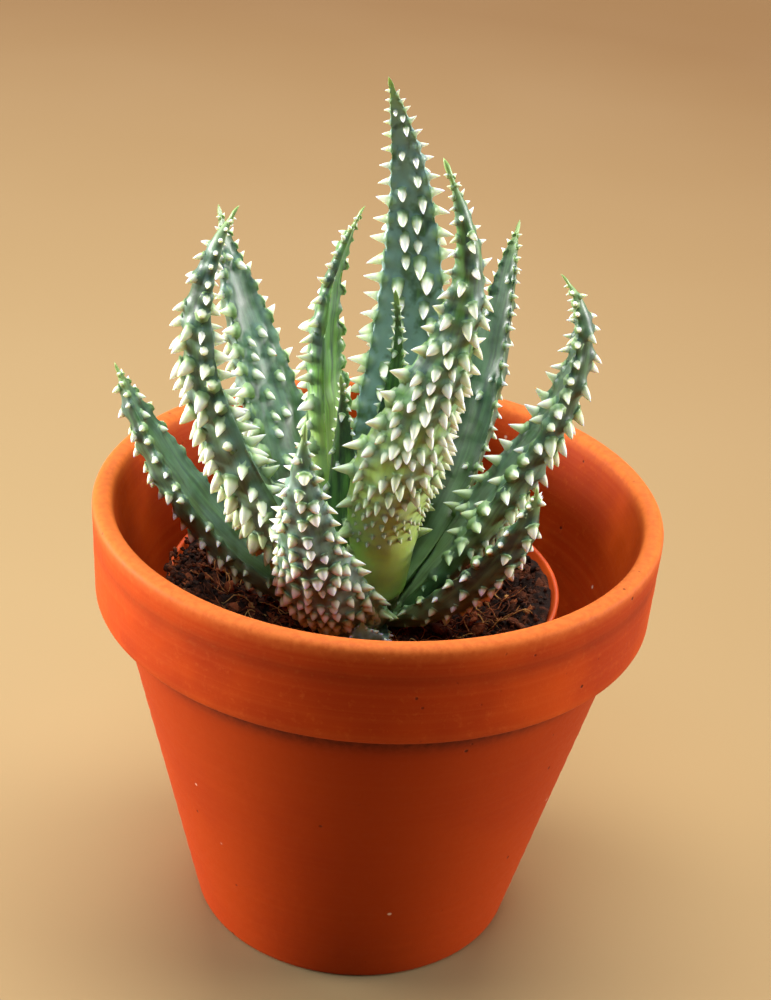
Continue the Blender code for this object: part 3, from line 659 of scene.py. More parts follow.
def buildCrumbs(look, finish):
    # lumps, chips and the lumps of a heap: a coarse ball whose radius swells by waves, flattened and
    # turned at random
    draw = np.random.default_rng(seed + 1)
    count = look["lumps"] + look["chips"] + look["heaped"]
    order = np.arange(count)
    chip = (order >= look["lumps"]) & (order < look["lumps"] + look["chips"])
    size = look["least"] + look["larger"] * draw.beta(*look["sizes"], count)
    size = np.where(chip, draw.uniform(*look["chipSize"], count), size)
    flat = np.where(chip, draw.uniform(*look["chipFlat"], count), draw.uniform(*look["flat"], count))
    x, y = soilSpots(draw, count, look["wallGap"])
    z = crumbledHeight(x, y) + size * flat * draw.uniform(*look["out"], count)
    # the last ones lie heaped up to the rim
    heaped = slice(count - look["heaped"], count)
    heading, spread, low, high = look["heap"]
    angle = np.radians(draw.normal(heading, spread / 2, look["heaped"]))
    reach = draw.uniform(low, high, look["heaped"])
    x[heaped], y[heaped] = potSpot(angle, reach)
    crest = (low, *(high - inside for inside in look["crest"]), high)
    z[heaped] = np.interp(reach, crest, look["heapHeights"])
    z[heaped] += draw.uniform(*look["uneven"], look["heaped"])
    ball = coarseBall(look["rings"], look["sides"])
    places = ball[None] + draw.uniform(0, look["apart"], count)[:, None, None, None]
    swelling, length, number = look["swell"]
    swell = 1 + swelling * waves(places, length, number)
    shape = ball[None] * swell[..., None] * size[:, None, None, None]
    narrow = np.stack([np.ones(count), draw.uniform(*look["narrow"], count), flat], axis=-1)
    shape = shape * narrow[:, None, None]
    poles = np.stack([np.zeros(count), np.zeros(count), size * flat * look["pole"]], axis=-1)
    tilt = draw.normal(0, look["tilt"], (count, 2))
    turned = rotations(draw.uniform(0, math.tau, count), tilt)
    middle = np.stack([x, y, z], axis=-1)
    rings = np.einsum("nij,nabj->nabi", turned, shape) + middle[:, None, None]
    top = np.einsum("nij,nj->ni", turned, poles)
    points, quads, triangles = manyTubes(rings * mm, (middle + top) * mm, (middle - top) * mm)
    tone = np.where(chip, draw.uniform(*look["chipTone"], count),
                    look["tone"] + look["brighter"] * draw.beta(*look["tones"], count))
    values = {"tone": np.repeat(tone, len(points) // count)}
    mesh = makeMesh("soilCrumbs", points, quads, triangles, values)
    addPiece("soilCrumbs", mesh, finish, "potting_soil")


fibres = {
    "count": 620, "points": 9, "sides": 5, "wallGap": 4.0, "inside": 0.5,
    # length, thickness and pointed ends; then size, rate and start of the sideways curl, and the hump
    "least": 1.5, "longer": 6.5, "lengths": (1.4, 2.6), "thick": (0.05, 0.14), "pointed": 0.75,
    "curl": 0.22, "curlRate": (2, 6), "curlStart": (0, 3),
    "hump": (-0.2, 1.0), "humpRate": (0.5, 1.6), "humpHeight": 1.2, "above": 0.45,
    "tone": (0.35, 1.0),
}


def buildFibres(look, finish):
    # strands that lie on the soil: a start, a way, a sideways curl and a hump, as thin tubes
    draw = np.random.default_rng(seed + 2)
    count = look["count"]
    t = np.linspace(0, 1, look["points"])
    long = look["least"] + look["longer"] * draw.beta(*look["lengths"], count)[:, None]
    thick = draw.uniform(*look["thick"], count)[:, None]
    spots = np.stack(soilSpots(draw, count, look["wallGap"]), axis=-1)
    angle = draw.uniform(0, math.tau, count)
    way = np.stack([np.cos(angle), np.sin(angle)], axis=-1)
    aside = np.stack([-way[:, 1], way[:, 0]], axis=-1)
    curled = draw.normal(0, look["curl"], count)[:, None] * long
    curlRate = draw.uniform(*look["curlRate"], count)[:, None]
    curl = curled * np.sin(t * curlRate + draw.uniform(*look["curlStart"], count)[:, None])
    flatPath = (spots[:, None] + way[:, None] * (long * (t - 0.5))[..., None]
                + aside[:, None] * curl[..., None])
    # strands that would cross the wall are pulled back inside
    away = flatPath - np.array(plantPot["centre"])
    reach = np.linalg.norm(away, axis=-1, keepdims=True)
    pulled = np.minimum(1, (soil["radiusTop"] - look["inside"]) / reach)
    flatPath = np.array(plantPot["centre"]) + away * pulled
    humped = draw.uniform(*look["hump"], count)[:, None]
    hump = humped * np.sin(t * math.pi * draw.uniform(*look["humpRate"], count)[:, None])
    level = bankedHeight(flatPath[..., 0], flatPath[..., 1]) + look["above"] + hump * look["humpHeight"]
    path = lifted(flatPath, level)
    along = unit(np.gradient(path, axis=1))
    across = unit(np.cross(along, up))
    above = np.cross(across, along)
    cosine, sine = aroundCircle(look["sides"]).T[..., None]
    radius = thick * (1 - look["pointed"] * np.abs(2 * t - 1) ** 3)
    rings = path[:, :, None] + radius[..., None, None] * (
        cosine * across[:, :, None] + sine * above[:, :, None])
    starts = path[:, 0] - along[:, 0] * thick
    ends = path[:, -1] + along[:, -1] * thick
    points, quads, triangles = manyTubes(rings * mm, starts * mm, ends * mm)
    tone = np.repeat(draw.uniform(*look["tone"], count), len(points) // count)
    mesh = makeMesh("soilFibres", points, quads, triangles, {"tone": tone})
    addPiece("soilFibres", mesh, finish, "potting_soil")


earthFinish = soilFinish(soil)
buildSoilBody(soil, earthFinish)
buildCrumbs(crumbs, earthFinish)
buildFibres(fibres, earthFinish)
print("soil filled in")


# Stem

def barkFinish(look):
    bark = Finish("stemBark", 0.7)
    place = bark.place()
    fibrous = bark.noise(bark.stretched(place, (1.0, 1.0, 0.25)), 1800.0, 4.0, 0.6)
    patches = bark.noise(place, 420.0, 3.0)
    colour = bark.mix(bark.span(fibrous, 0.35, 0.65), look["bark"], look["paleBark"])
    bark.set("Base Color", bark.mix(bark.span(patches, 0.5, 0.7), colour, look["patches"]))
    bark.set("Normal", bark.bump(fibrous, 0.6, 0.0002))
    return bark.material


def buildStem(look):
    # a turned stub with the rings that fallen leaves left, r = outline + scars
    height = np.linspace(look["foot"], look["top"], look["rings"])
    bulge = look["foot"] + look["footRise"]
    plain = np.interp(
        height, (look["foot"], bulge, look["shoulder"], look["neck"], look["top"]),
        (look["footRadius"], look["radius"], look["radius"], look["neckRadius"], look["topRadius"]))
    angles = equalAngles(look["sides"])
    size, rate, turns, warp = look["scars"]
    radius = plain[:, None] + size * np.sin(height[:, None] * rate + np.sin(angles * turns) * warp)
    spots = look["centre"] + radius[..., None] * aroundCircle(look["sides"])
    rings = lifted(spots, height[:, None]) * mm
    start = np.array([*look["centre"], look["foot"]]) * mm
    end = np.array([*look["centre"], look["top"] + look["cap"]]) * mm
    mesh = makeMesh("stemStub", *closedTube(rings, start, end))
    addPiece("stemStub", mesh, barkFinish(look), "stem_bark", "stem")


buildStem(stem)
print("stem grown")


# Leaves

leafShape = {
    "tipHalf": 0.40, "tipPoint": 1.4, "heel": 1.2, "tipDepth": 0.25, "keel": 0.9,
    "cell": 0.5, "sides": 72,
    # rings that close the ends: share of the heel or point, and of the width; pole: past the heel
    "heelRings": ((1.0, 0.72), (0.7, 0.92)), "pole": 1.3, "tipRings": ((0.3, 0.85), (0.65, 0.5)),
    # swelling under the teeth: height, width over the tooth's radius, tooth length for all of it
    "swellHeight": 0.75, "swellWidth": 1.35, "swellLong": 2.0,
    # fine unevenness: size and length of its waves; it and the swelling shrink where the half width
    # is under the first of fading, down to the second as a share
    "unevenness": 0.16, "unevenLength": 6.0, "fading": (2.0, 0.25),
    "innerEdge": 3,    # how sharply the inner face's colour sets in
}
toothShape = {
    "sides": 8,
    # a tooth's outline: heights of its rings over its length, and their radii for a drop and a thorn
    "rings": (0.0, 0.14, 0.38, 0.62, 0.82, 0.94),
    "drop": (1.45, 1.08, 0.90, 0.67, 0.38, 0.14), "thorn": (1.7, 1.05, 0.76, 0.52, 0.28, 0.11),
    "sunk": 0.1, "longways": (1.05, 1.15), "hook": (-0.28, 0.0), "thornHook": (-0.1, 0.3),
    # lean towards the tip of drops and thorns, and how much more near the tip
    "lean": (-0.6, -0.3), "thornLean": (-0.3, 0.25), "tipLean": 0.5, "tipFrom": 0.85,
    # radius: share of the length, within limits, and no more than a share of the leaf's half width
    "thornPlump": 0.25, "plumpSpread": (0.9, 1.15), "lengths": (0.8, 3.0), "least": 0.08,
    "widest": (0.62, 0.12), "colourLength": 0.4,
    # teeth stop at a share of the free room, and over the clay pot's lip they are short
    "freeLook": 8.0, "lookStep": 0.5, "farAway": 99.0, "clear": 0.2, "clearSoil": 0.3, "reach": 0.45,
    "lipZone": 4, "lipLongest": 1.5, "shortest": 0.65, "shortestShare": 0.27,
}
toothRule = {
    # margins: where they start and end, distance in from the edge, scatter of place, length and step
    "marginFrom": 0.04, "marginBare": 0.4, "marginStart": (0.0, 0.03), "marginEnd": 0.992,
    "marginIn": 0.16, "marginAside": (-0.2, 1.0), "marginLengths": (0.85, 1.15),
    "marginSteps": (0.8, 1.2), "tipCloser": 0.6,
    # rows of the outer face: where they start and end, room at the ends, staggering and scatter
    "faceFrom": 0.01, "faceEnd": 0.96, "rowRoom": 0.6, "stagger": 0.25, "aside": 0.2,
    "faceEdges": (0.1, 0.9), "strewn": 0.3, "rowStep": 0.88, "faceLengths": (0.8, 1.12),
    "rising": (0.16, 0.3),    # share of length over which they grow to full size, and the least size
    # inner face: step, end, angle from its middle and scatter of length
    "innerStep": 3.4, "innerEnd": 0.94, "innerAside": (0.2, 0.7), "innerLengths": (0.75, 1.1),
    "longest": (0.5, 0.62),    # longest tooth: this, and this share of the leaf's half width there
    # how close teeth may stand, seen a little above the skin, and how that shrinks on thin tips
    "above": 0.9, "closest": 0.66, "thinHalf": 2.4, "thinLeast": 0.35,
}
leafColours = {
    # the blue-grey colour: partly wax bloom, partly a painted sheen
    "dark": linear(28, 56, 36), "green": linear(74, 112, 66), "bloom": linear(138, 170, 158),
    # base: the leaf's pale root colour, brightened as a painted glow of light through it
    "young": linear(124, 186, 60), "base": linear(214, 244, 124), "tip": linear(158, 190, 110),
    "podium": linear(132, 166, 104), "hornRoot": linear(170, 204, 128), "cream": linear(243, 244, 222),
    "ivory": linear(255, 255, 248), "rust": linear(206, 110, 52),
    "hornStops": ((0.14, "hornRoot"), (0.44, "cream"), (0.85, "ivory")),
}
youngLeaves = ("leaf_young_tall", "leaf_young_short", "leaf_middle_left", "leaf_tall_front")


def leaf(heading, root, foot, reach, height, rise, width, **more):
    # heading: its way from the stem; root, foot: height and distance of its root; reach, height: of
    # its tip; rise, lean: upward and sideways angles at root and tip; pull: how long it holds them;
    # sway, drift: sideways wave and shift; width, belly, waist, curve, taper: its outline;
    # depth, hollow: its section; bare: share without teeth; gap, tooth, plump: spacing, length and
    # radius over length of the teeth at root and tip; edgeGap, edge: spacing and length at the
    # margins; turn: how far each margin's teeth are moved round to the outer face;
    # inner: share of inner teeth, from innerFrom on; young, then bloom and paleness: how bright, how
    # blue-grey and how pale at the root it is, the blue-grey partly wax bloom and partly a painted
    # sheen, the paleness partly a painted glow of light through the leaf
    values = dict(heading=heading, root=root, foot=foot, reach=reach, height=height, rise=rise,
                  width=width, lean=(0, 0), pull=(0.36, 0.36), sway=0.0, drift=0.0, belly=0.3,
                  waist=0.7, curve=1.0, taper=1.0, depth=0.42, hollow=0.10, bare=0.10,
                  tooth=(2.4, 2.9), gap=(2.4, 3.4), plump=(0.36, 0.29), edge=(2.8, 3.3),
                  edgeGap=(3.6, 3.2), turn=(0.0, 0.0), inner=0.5, innerFrom=0.25, young=0.0, bloom=0.6,
                  pale=0.1)
    values.update(more)
    return values


leaves = {
    "leaf_young_tall": leaf(70, 66, 1.5, 2, 110, (92, 97), 5, lean=(11, 8), depth=0.5, hollow=0.05,
                            waist=0.8, curve=1.2, pull=(0.38, 0.41), tooth=(1.2, 1.1), gap=(2.6, 2.6),
                            edge=(1.4, 1.4), edgeGap=(3.0, 2.6), young=0.8, bloom=0.2),
    "leaf_young_short": leaf(225, 65, 3, 9, 99.5, (77, 75), 6.5, lean=(-8, 2), depth=0.5, hollow=0.05,
                             waist=0.8, curve=1.2, pull=(0.43, 0.30), tooth=(1.6, 1.0), gap=(4.5, 5),
                             edge=(1.5, 1.1), edgeGap=(3.4, 2.4), inner=0.1, young=0.3, bloom=0.05),
    "leaf_tall_back": leaf(92, 64, 2.5, 15, 138.5, (72, 104), 13, lean=(-8, 18), drift=2, belly=0.35,
                           taper=0.76, depth=0.40, tooth=(2.6, 3.2), gap=(2.5, 3.5),
                           plump=(0.34, 0.26), inner=0.95, innerFrom=0.1, young=0.3, bloom=3.0),
    "leaf_middle_left": leaf(165, 64.5, 3.5, 5.5, 123, (80, 112), 10, lean=(-4, -2), pull=(0.46, 0.30),
                             curve=1.4, taper=0.8, depth=0.38, hollow=0.14, tooth=(2.2, 2.6),
                             gap=(3.2, 3.8), edge=(3.2, 3.2), edgeGap=(3.8, 3.3), turn=(0.5, 0.0),
                             inner=0.0, young=1.0, bloom=0.35, pale=1.0),
    "leaf_tall_front": leaf(302, 62.7, 3.5, 12, 135, (85, 110), 14, lean=(-9, -18), sway=-2,
                            pull=(0.41, 0.30), belly=0.38, waist=0.55, curve=0.8, taper=0.92, bare=0.17,
                            tooth=(1.7, 2.9), gap=(1.5, 3.5), plump=(0.34, 0.28), edge=(3.8, 3.2),
                            edgeGap=(6.0, 2.9), young=0.8, bloom=0.65, pale=1.0),
    "leaf_tall_left": leaf(196, 60, 4.5, 24, 124.5, (62, 116), 13, lean=(8, 2), sway=1,
                           pull=(0.30, 0.40), curve=1.1, taper=0.75, depth=0.46, hollow=0.08,
                           tooth=(2.3, 3.1), gap=(2.2, 3.6), plump=(0.38, 0.30), edge=(2.8, 3.6),
                           turn=(0.25, -0.7), bloom=0.5),
    "leaf_behind_left": leaf(142, 60, 4, 36, 113.5, (54, 71), 12, sway=0.8, drift=-0.5,
                             pull=(0.30, 0.41), curve=1.6, taper=0.8, depth=0.40, inner=0.5,
                             tooth=(2.0, 2.4), gap=(2.8, 3.5), plump=(0.38, 0.32), bloom=0.6),
    "leaf_back_right": leaf(50, 61, 4, 29.4, 114.8, (47, 76), 10, lean=(-6, -1), pull=(0.40, 0.41),
                            curve=1.5, taper=0.78, depth=0.40, tooth=(1.5, 1.2), gap=(3.0, 3.4),
                            edge=(1.8, 1.1), inner=0.25, bloom=0.25),
    "leaf_right": leaf(3, 58.8, 4.5, 25.5, 115, (62, 127), 11.5, lean=(6, -6), pull=(0.26, 0.31),
                       belly=0.22, curve=1.3, taper=0.72, depth=0.46, tooth=(1.8, 3.0),
                       gap=(3.0, 3.3), edge=(2.6, 3.4), turn=(-0.7, 0.0), plump=(0.36, 0.28),
                       inner=0.35, bloom=0.4),
    "leaf_front_left": leaf(248, 60, 5, 24.8, 98.8, (36, 92), 15, lean=(-6, 0), drift=-1.5,
                            pull=(0.39, 0.24), waist=0.8, taper=0.95, bare=0.03, tooth=(1.3, 1.4),
                            gap=(1.45, 3.1), plump=(0.62, 0.44), edge=(2.8, 1.6),
                            edgeGap=(2.8, 3.2), inner=0.2, bloom=0.7),
    "leaf_low_right": leaf(325, 59, 5, 28.5, 88.5, (33, 80), 9.5, lean=(-2, -16), pull=(0.38, 0.18),
                           waist=0.75, curve=2.2, taper=0.8, depth=0.45, hollow=0.08,
                           tooth=(1.0, 1.6), gap=(2.8, 3.4), plump=(0.5, 0.4), edge=(1.7, 2.0),
                           edgeGap=(3.2, 2.6), inner=0.0, bloom=0.2),
    "leaf_low_left": leaf(174, 58.8, 5, 41.5, 93.5, (8, 64), 10.5, lean=(14, 5), pull=(0.31, 0.22),
                          belly=0.35, curve=2.0, taper=0.8, hollow=0.08, tooth=(1.4, 1.6),
                          gap=(2.7, 3.4), plump=(0.42, 0.38), edge=(1.6, 1.9),
                          edgeGap=(3.2, 2.8), inner=0.25, bloom=0.35),
    "leaf_low_back": leaf(82, 59, 5, 28, 84, (30, 65), 11, waist=0.75, curve=1.4, taper=0.85,
                          tooth=(1.9, 2.4), gap=(2.6, 3.2), edge=(2.2, 2.4)),
    "leaf_low_back_left": leaf(122, 58.7, 5, 27, 78, (25, 60), 10, waist=0.75, curve=1.4, taper=0.85,
                               tooth=(1.9, 2.4), gap=(2.6, 3.2), edge=(2.2, 2.4)),
    "leaf_new_front": leaf(268, 57.4, 5, 17, 63.8, (2, 62), 8, waist=0.8, belly=0.45, curve=2.0,
                           taper=0.9, depth=0.3, hollow=0.04, tooth=(0.7, 0.7), gap=(2.4, 2.4),
                           edge=(0.9, 0.8), edgeGap=(1.5, 1.2), inner=0.0, young=0.3, bloom=1.6),
}


def leafCourse(design, count=161):
    # the midline is a cubic curve B(t) from root to tip, held in the directions rise and lean at its
    # ends, plus a sideways wave sway sin(2 pi t) sin(pi t)
    heading = math.radians(design["heading"])
    outward = np.array([math.cos(heading), math.sin(heading), 0.0])
    aside = np.array([-math.sin(heading), math.cos(heading), 0.0])
    centre = np.array([*stem["centre"], 0.0])
    root = centre + outward * design["foot"] + up * design["root"]
    tip = centre + outward * design["reach"] + up * design["height"] + aside * design["drift"]
    chord = np.linalg.norm(tip - root)
    rise, lean = np.radians(design["rise"]), np.radians(design["lean"])
    ways = [(outward * math.cos(r) + up * math.sin(r)) * math.cos(a) + aside * math.sin(a)
            for r, a in zip(rise, lean)]
    near = root + ways[0] * chord * design["pull"][0]
    far = tip - ways[1] * chord * design["pull"][1]
    t = np.linspace(0.0, 1.0, count)[:, None]
    line = (1 - t) ** 3 * root + 3 * (1 - t) ** 2 * t * near + 3 * (1 - t) * t ** 2 * far + t ** 3 * tip
    line = line + design["sway"] * np.sin(math.tau * t) * np.sin(math.pi * t) * aside
    along = unit(np.gradient(line, t[:, 0], axis=0, edge_order=2))
    across = unit(aside - (along @ aside)[:, None] * along)
    share = np.concatenate([[0.0], np.cumsum(np.linalg.norm(np.diff(line, axis=0), axis=1))])
    return {"length": share[-1], "share": share / share[-1], "line": line, "along": along,
            "across": across, "inward": np.cross(along, across)}


def halfWidth(design, s):
    # a quarter sine from the waist to the belly, then (1 - x^curve)^taper to the tip
    grown = np.sin(np.clip(s / design["belly"], 0, 1) * math.pi / 2)
    grow = design["waist"] + (1 - design["waist"]) * grown
    beyond = np.clip((s - design["belly"]) / (1 - design["belly"]), 0, 1)
    narrow = (1 - beyond ** design["curve"]) ** design["taper"]
    return np.maximum(design["width"] / 2 * grow * narrow, leafShape["tipHalf"])


def outerDepth(design, s):
    return halfWidth(design, s) * 2 * design["depth"] * (1 + leafShape["tipDepth"] * s)


def picked(course, key, s):
    return np.stack([np.interp(s, course["share"], course[key][:, i]) for i in range(3)], axis=-1)


def leafSection(design, s, theta):
    # across = w cos(theta); the outer face bulges by |sin|^keel, the inner one is hollowed by sin^2
    wide = halfWidth(design, s)
    hollow = wide * 2 * design["hollow"] * (1 - s)
    sine = np.sin(theta)
    outer = -outerDepth(design, s) * np.abs(sine) ** leafShape["keel"]
    return wide * np.cos(theta), np.where(sine >= 0, outer, -hollow * sine ** 2)


def leafPoints(design, course, s, theta):
    sideways, depth = leafSection(design, s, theta)
    return (picked(course, "line", s) + sideways[..., None] * picked(course, "across", s)
            + depth[..., None] * picked(course, "inward", s))


def skinWays(design, course, s, theta, ahead=0.004, beside=0.05):
    # the skin's normal is the cross product of its slopes along and around
    root = leafPoints(design, course, s, theta)
    around = (leafPoints(design, course, s, theta + beside)
              - leafPoints(design, course, s, theta - beside))
    along = (leafPoints(design, course, np.minimum(s + ahead, 1), theta)
             - leafPoints(design, course, s - ahead, theta))
    normal = unit(np.cross(along, around))
    return root, normal, unit(along - (along * normal).sum(axis=1, keepdims=True) * normal)


def insideLeaf(design, course, points, grow, skip=3):
    # whether points lie within a box of the leaf's width and depth at the nearest spot of its midline
    apart = np.linalg.norm(points[:, None] - course["line"][None, ::skip], axis=-1)
    nearest = apart.argmin(axis=1) * skip
    offset = points - course["line"][nearest]
    s = course["share"][nearest]
    x, y, z = ((offset * course[key][nearest]).sum(axis=1) for key in ("across", "inward", "along"))
    return ((np.abs(x) < halfWidth(design, s) + grow) & (y > -outerDepth(design, s) - grow)
            & (y < grow) & (np.abs(z) < leafShape["heel"] + grow))


def freeRoom(name, root, way, courses):
    # how far each tooth may grow before another leaf or the soil
    shape = toothShape
    room = np.full(len(root), shape["farAway"])
    for distance in np.arange(shape["freeLook"], 0.0, -shape["lookStep"]):
        points = root + way * distance
        stopped = points[:, 2] < soilHeight(points[:, 0], points[:, 1]) + shape["clearSoil"]
        for other, design in leaves.items():
            if other != name:
                stopped |= insideLeaf(design, courses[other], points, shape["clear"])
        room = np.where(stopped, distance, room)
    return room


def evenAngles(design, s, shares, count=61):
    # angles of the outer face at equal steps of its arc, and the arc's length
    theta = np.linspace(0, math.pi, count)
    x, y = leafSection(design, np.full(count, s), theta)
    arc = np.concatenate([[0.0], np.cumsum(np.hypot(np.diff(x), np.diff(y)))])
    return np.interp(shares * arc[-1], arc, theta), arc[-1]


def between(ends, s):
    return ends[0] + (ends[1] - ends[0]) * s


def marginPlaces(design, length, draw):
    rule = toothRule
    left, right = design["turn"]
    places = []
    for edge, inwards in ((left, rule["marginIn"]), (math.pi - right, -rule["marginIn"])):
        s = rule["marginFrom"] + design["bare"] * rule["marginBare"] + draw.uniform(*rule["marginStart"])
        while s < rule["marginEnd"]:
            long = between(design["edge"], s) * draw.uniform(*rule["marginLengths"])
            places.append((s, edge + inwards * draw.uniform(*rule["marginAside"]), long, 1.0))
            step = between(design["edgeGap"], s) * (1 - rule["tipCloser"] * s ** 4)
            s += step * draw.uniform(*rule["marginSteps"]) / length
    return places


def facePlaces(design, length, draw):
    # staggered rows across the outer face
    rule = toothRule
    over, least = rule["rising"]
    s = design["bare"] + rule["faceFrom"]
    stagger = -rule["stagger"]
    places = []
    while s < rule["faceEnd"]:
        gap = between(design["gap"], s)
        arc = evenAngles(design, s, np.zeros(1))[1]
        count = max(1, int(round(arc / gap - rule["rowRoom"])))
        spots = (np.arange(count) + 1 + stagger) / (count + 1)
        spots = spots + draw.uniform(-rule["aside"], rule["aside"], count) / (count + 1)
        angles = evenAngles(design, s, np.clip(spots, *rule["faceEdges"]))[0]
        strewn = s + draw.uniform(-rule["strewn"], rule["strewn"], count) * gap / length
        rising = np.clip((strewn - design["bare"]) / over, least, 1.0)
        long = between(design["tooth"], s) * draw.uniform(*rule["faceLengths"], count) * rising
        places += zip(strewn, angles, long, np.zeros(count))
        s += gap * rule["rowStep"] / length
        stagger = -stagger
    return places


def innerPlaces(design, length, draw):
    rule = toothRule
    step = rule["innerStep"] / length
    s = design["innerFrom"]
    places = []
    while s < rule["innerEnd"]:
        for side in (-1, 1):
            if draw.uniform() < design["inner"]:
                angle = 1.5 * math.pi + side * draw.uniform(*rule["innerAside"])
                long = between(design["tooth"], s) * draw.uniform(*rule["innerLengths"])
                strewn = s + draw.uniform(-rule["strewn"], rule["strewn"]) * step
                places.append((strewn, angle, long, 0.5))
        s += step
    return places


def toothPlaces(design, course, draw):
    # margins first, then the outer face, then the inner face; each place is (share of length, angle,
    # length, kind), kind 1 at a margin
    places = np.array(marginPlaces(design, course["length"], draw)
                      + facePlaces(design, course["length"], draw)
                      + innerPlaces(design, course["length"], draw))
    # near the thin tip they are shorter
    least, share = toothRule["longest"]
    places[:, 2] = np.minimum(places[:, 2], least + share * halfWidth(design, places[:, 0]))
    return places


def thinnedOut(places, root, normal, design):
    # later teeth give way to earlier ones that stand too close, seen a little above the skin, so
    # that the teeth of one face leave those of the other alone
    rule = toothRule
    spots = root + normal * rule["above"]
    thin = np.clip(halfWidth(design, places[:, 0]) / rule["thinHalf"], rule["thinLeast"], 1)
    nearest = rule["closest"] * between(design["gap"], places[:, 0]) * thin
    kept = [0]
    for index in range(1, len(places)):
        if np.linalg.norm(spots[kept] - spots[index], axis=1).min() > nearest[index]:
            kept.append(index)
    return np.array(kept)


def leafTeeth(name, design, courses, draw):
    # where each tooth stands, which way it points, and its length and radius
    shape = toothShape
    places = toothPlaces(design, courses[name], draw)
    root, normal, ahead = skinWays(design, courses[name], places[:, 0], places[:, 1])
    kept = thinnedOut(places, root, normal, design)
    s, theta, long, kind = places[kept].T
    root, normal, ahead = root[kept], normal[kept], ahead[kept]
    lean = np.where(kind == 1, draw.uniform(*shape["thornLean"], len(s)),
                    draw.uniform(*shape["lean"], len(s)))
    lean = lean + shape["tipLean"] * np.clip((s - shape["tipFrom"]) / (1 - shape["tipFrom"]), 0, 1)
    way = unit(normal + lean[:, None] * ahead)
    long = np.minimum(long, freeRoom(name, root, way, courses) * shape["reach"])
    overLip = np.hypot(root[:, 0], root[:, 1]) > clayPot["lipRadius"] - shape["lipZone"]
    long = np.where(overLip, np.minimum(long, shape["lipLongest"]), long)
    fits = long > min(shape["shortest"], design["tooth"][0] * shape["shortestShare"])
    teeth = dict(s=s, theta=theta, kind=kind, root=root, ahead=ahead, way=way, long=long)
    teeth = {key: value[fits] for key, value in teeth.items()}
    count = int(fits.sum())
    plump = np.where(teeth["kind"] == 1, shape["thornPlump"], between(design["plump"], teeth["s"]))
    plump = plump * draw.uniform(*shape["plumpSpread"], count)
    share, least = shape["widest"]
    teeth["radius"] = np.minimum(np.clip(teeth["long"], *shape["lengths"]) * plump + shape["least"],
                                 halfWidth(design, teeth["s"]) * share + least)
    return teeth


def overSkin(grid, poles):
    # values on the skin's grid carried on to the rings and poles that close it
    rows = np.concatenate([grid[:1], grid[:1], grid, grid[-1:], grid[-1:]])
    return np.concatenate([rows.reshape(-1, *grid.shape[2:]), poles])


def leafSkin(name, design, course, teeth):
    # rings from the heel to the tip, with a soft swelling under each tooth, and their values
    shape = leafShape
    rows = int(course["length"] / shape["cell"])
    grid = np.meshgrid(np.linspace(0, 1, rows), equalAngles(shape["sides"]), indexing="ij")
    skin = leafPoints(design, course, *grid)
    normals = np.cross(np.gradient(skin, axis=0), np.roll(skin, -1, axis=1) - np.roll(skin, 1, axis=1))
    normals /= np.linalg.norm(normals, axis=-1, keepdims=True) + 1e-12    # some are 0 at a point
    flat = skin.reshape(-1, 3)
    apart = np.linalg.norm(flat[:, None] - teeth["root"][None], axis=-1)
    near = hill(apart, teeth["radius"] * shape["swellWidth"])
    high = shape["swellHeight"] * np.minimum(1, teeth["long"] / shape["swellLong"])
    full, least = shape["fading"]
    thin = np.clip(halfWidth(design, grid[0]) / full, least, 1).reshape(-1)
    uneven = shape["unevenness"] * waves(flat, shape["unevenLength"], len(name)) * thin
    rise = (near * high).max(axis=1) * thin + uneven
    skin = (flat + normals.reshape(-1, 3) * rise[:, None]).reshape(skin.shape)

    root, inwards = course["line"][0], -course["along"][0] * shape["heel"]
    tip, onward = course["line"][-1], course["along"][-1] * shape["tipPoint"]
    heels = [root + (skin[0] - root) * narrow + inwards * share for share, narrow in shape["heelRings"]]
    tips = [tip + (skin[-1] - tip) * narrow + onward * share for share, narrow in shape["tipRings"]]
    rings = np.concatenate([np.array(heels), skin, np.array(tips)])
    parts = closedTube(rings * mm, (root + inwards * shape["pole"]) * mm, (tip + onward) * mm)

    sideways, depth = leafSection(design, *grid)
    flesh = np.stack([sideways, depth, grid[0] * course["length"]], axis=-1)
    flesh = overSkin(flesh, flesh[[0, -1], 0]) * mm
    swell = near.max(axis=1).reshape(grid[0].shape)
    inner = np.clip(-np.sin(grid[1]) * shape["innerEdge"], 0, 1)
    count = len(flesh)
    return parts, {
        "flesh": flesh, "share": flesh[:, 2] / mm / course["length"],
        "swell": overSkin(swell, np.zeros(2)), "horn": np.zeros(count), "tone": np.full(count, 0.5),
        "inner": overSkin(inner, np.zeros(2)),
    }


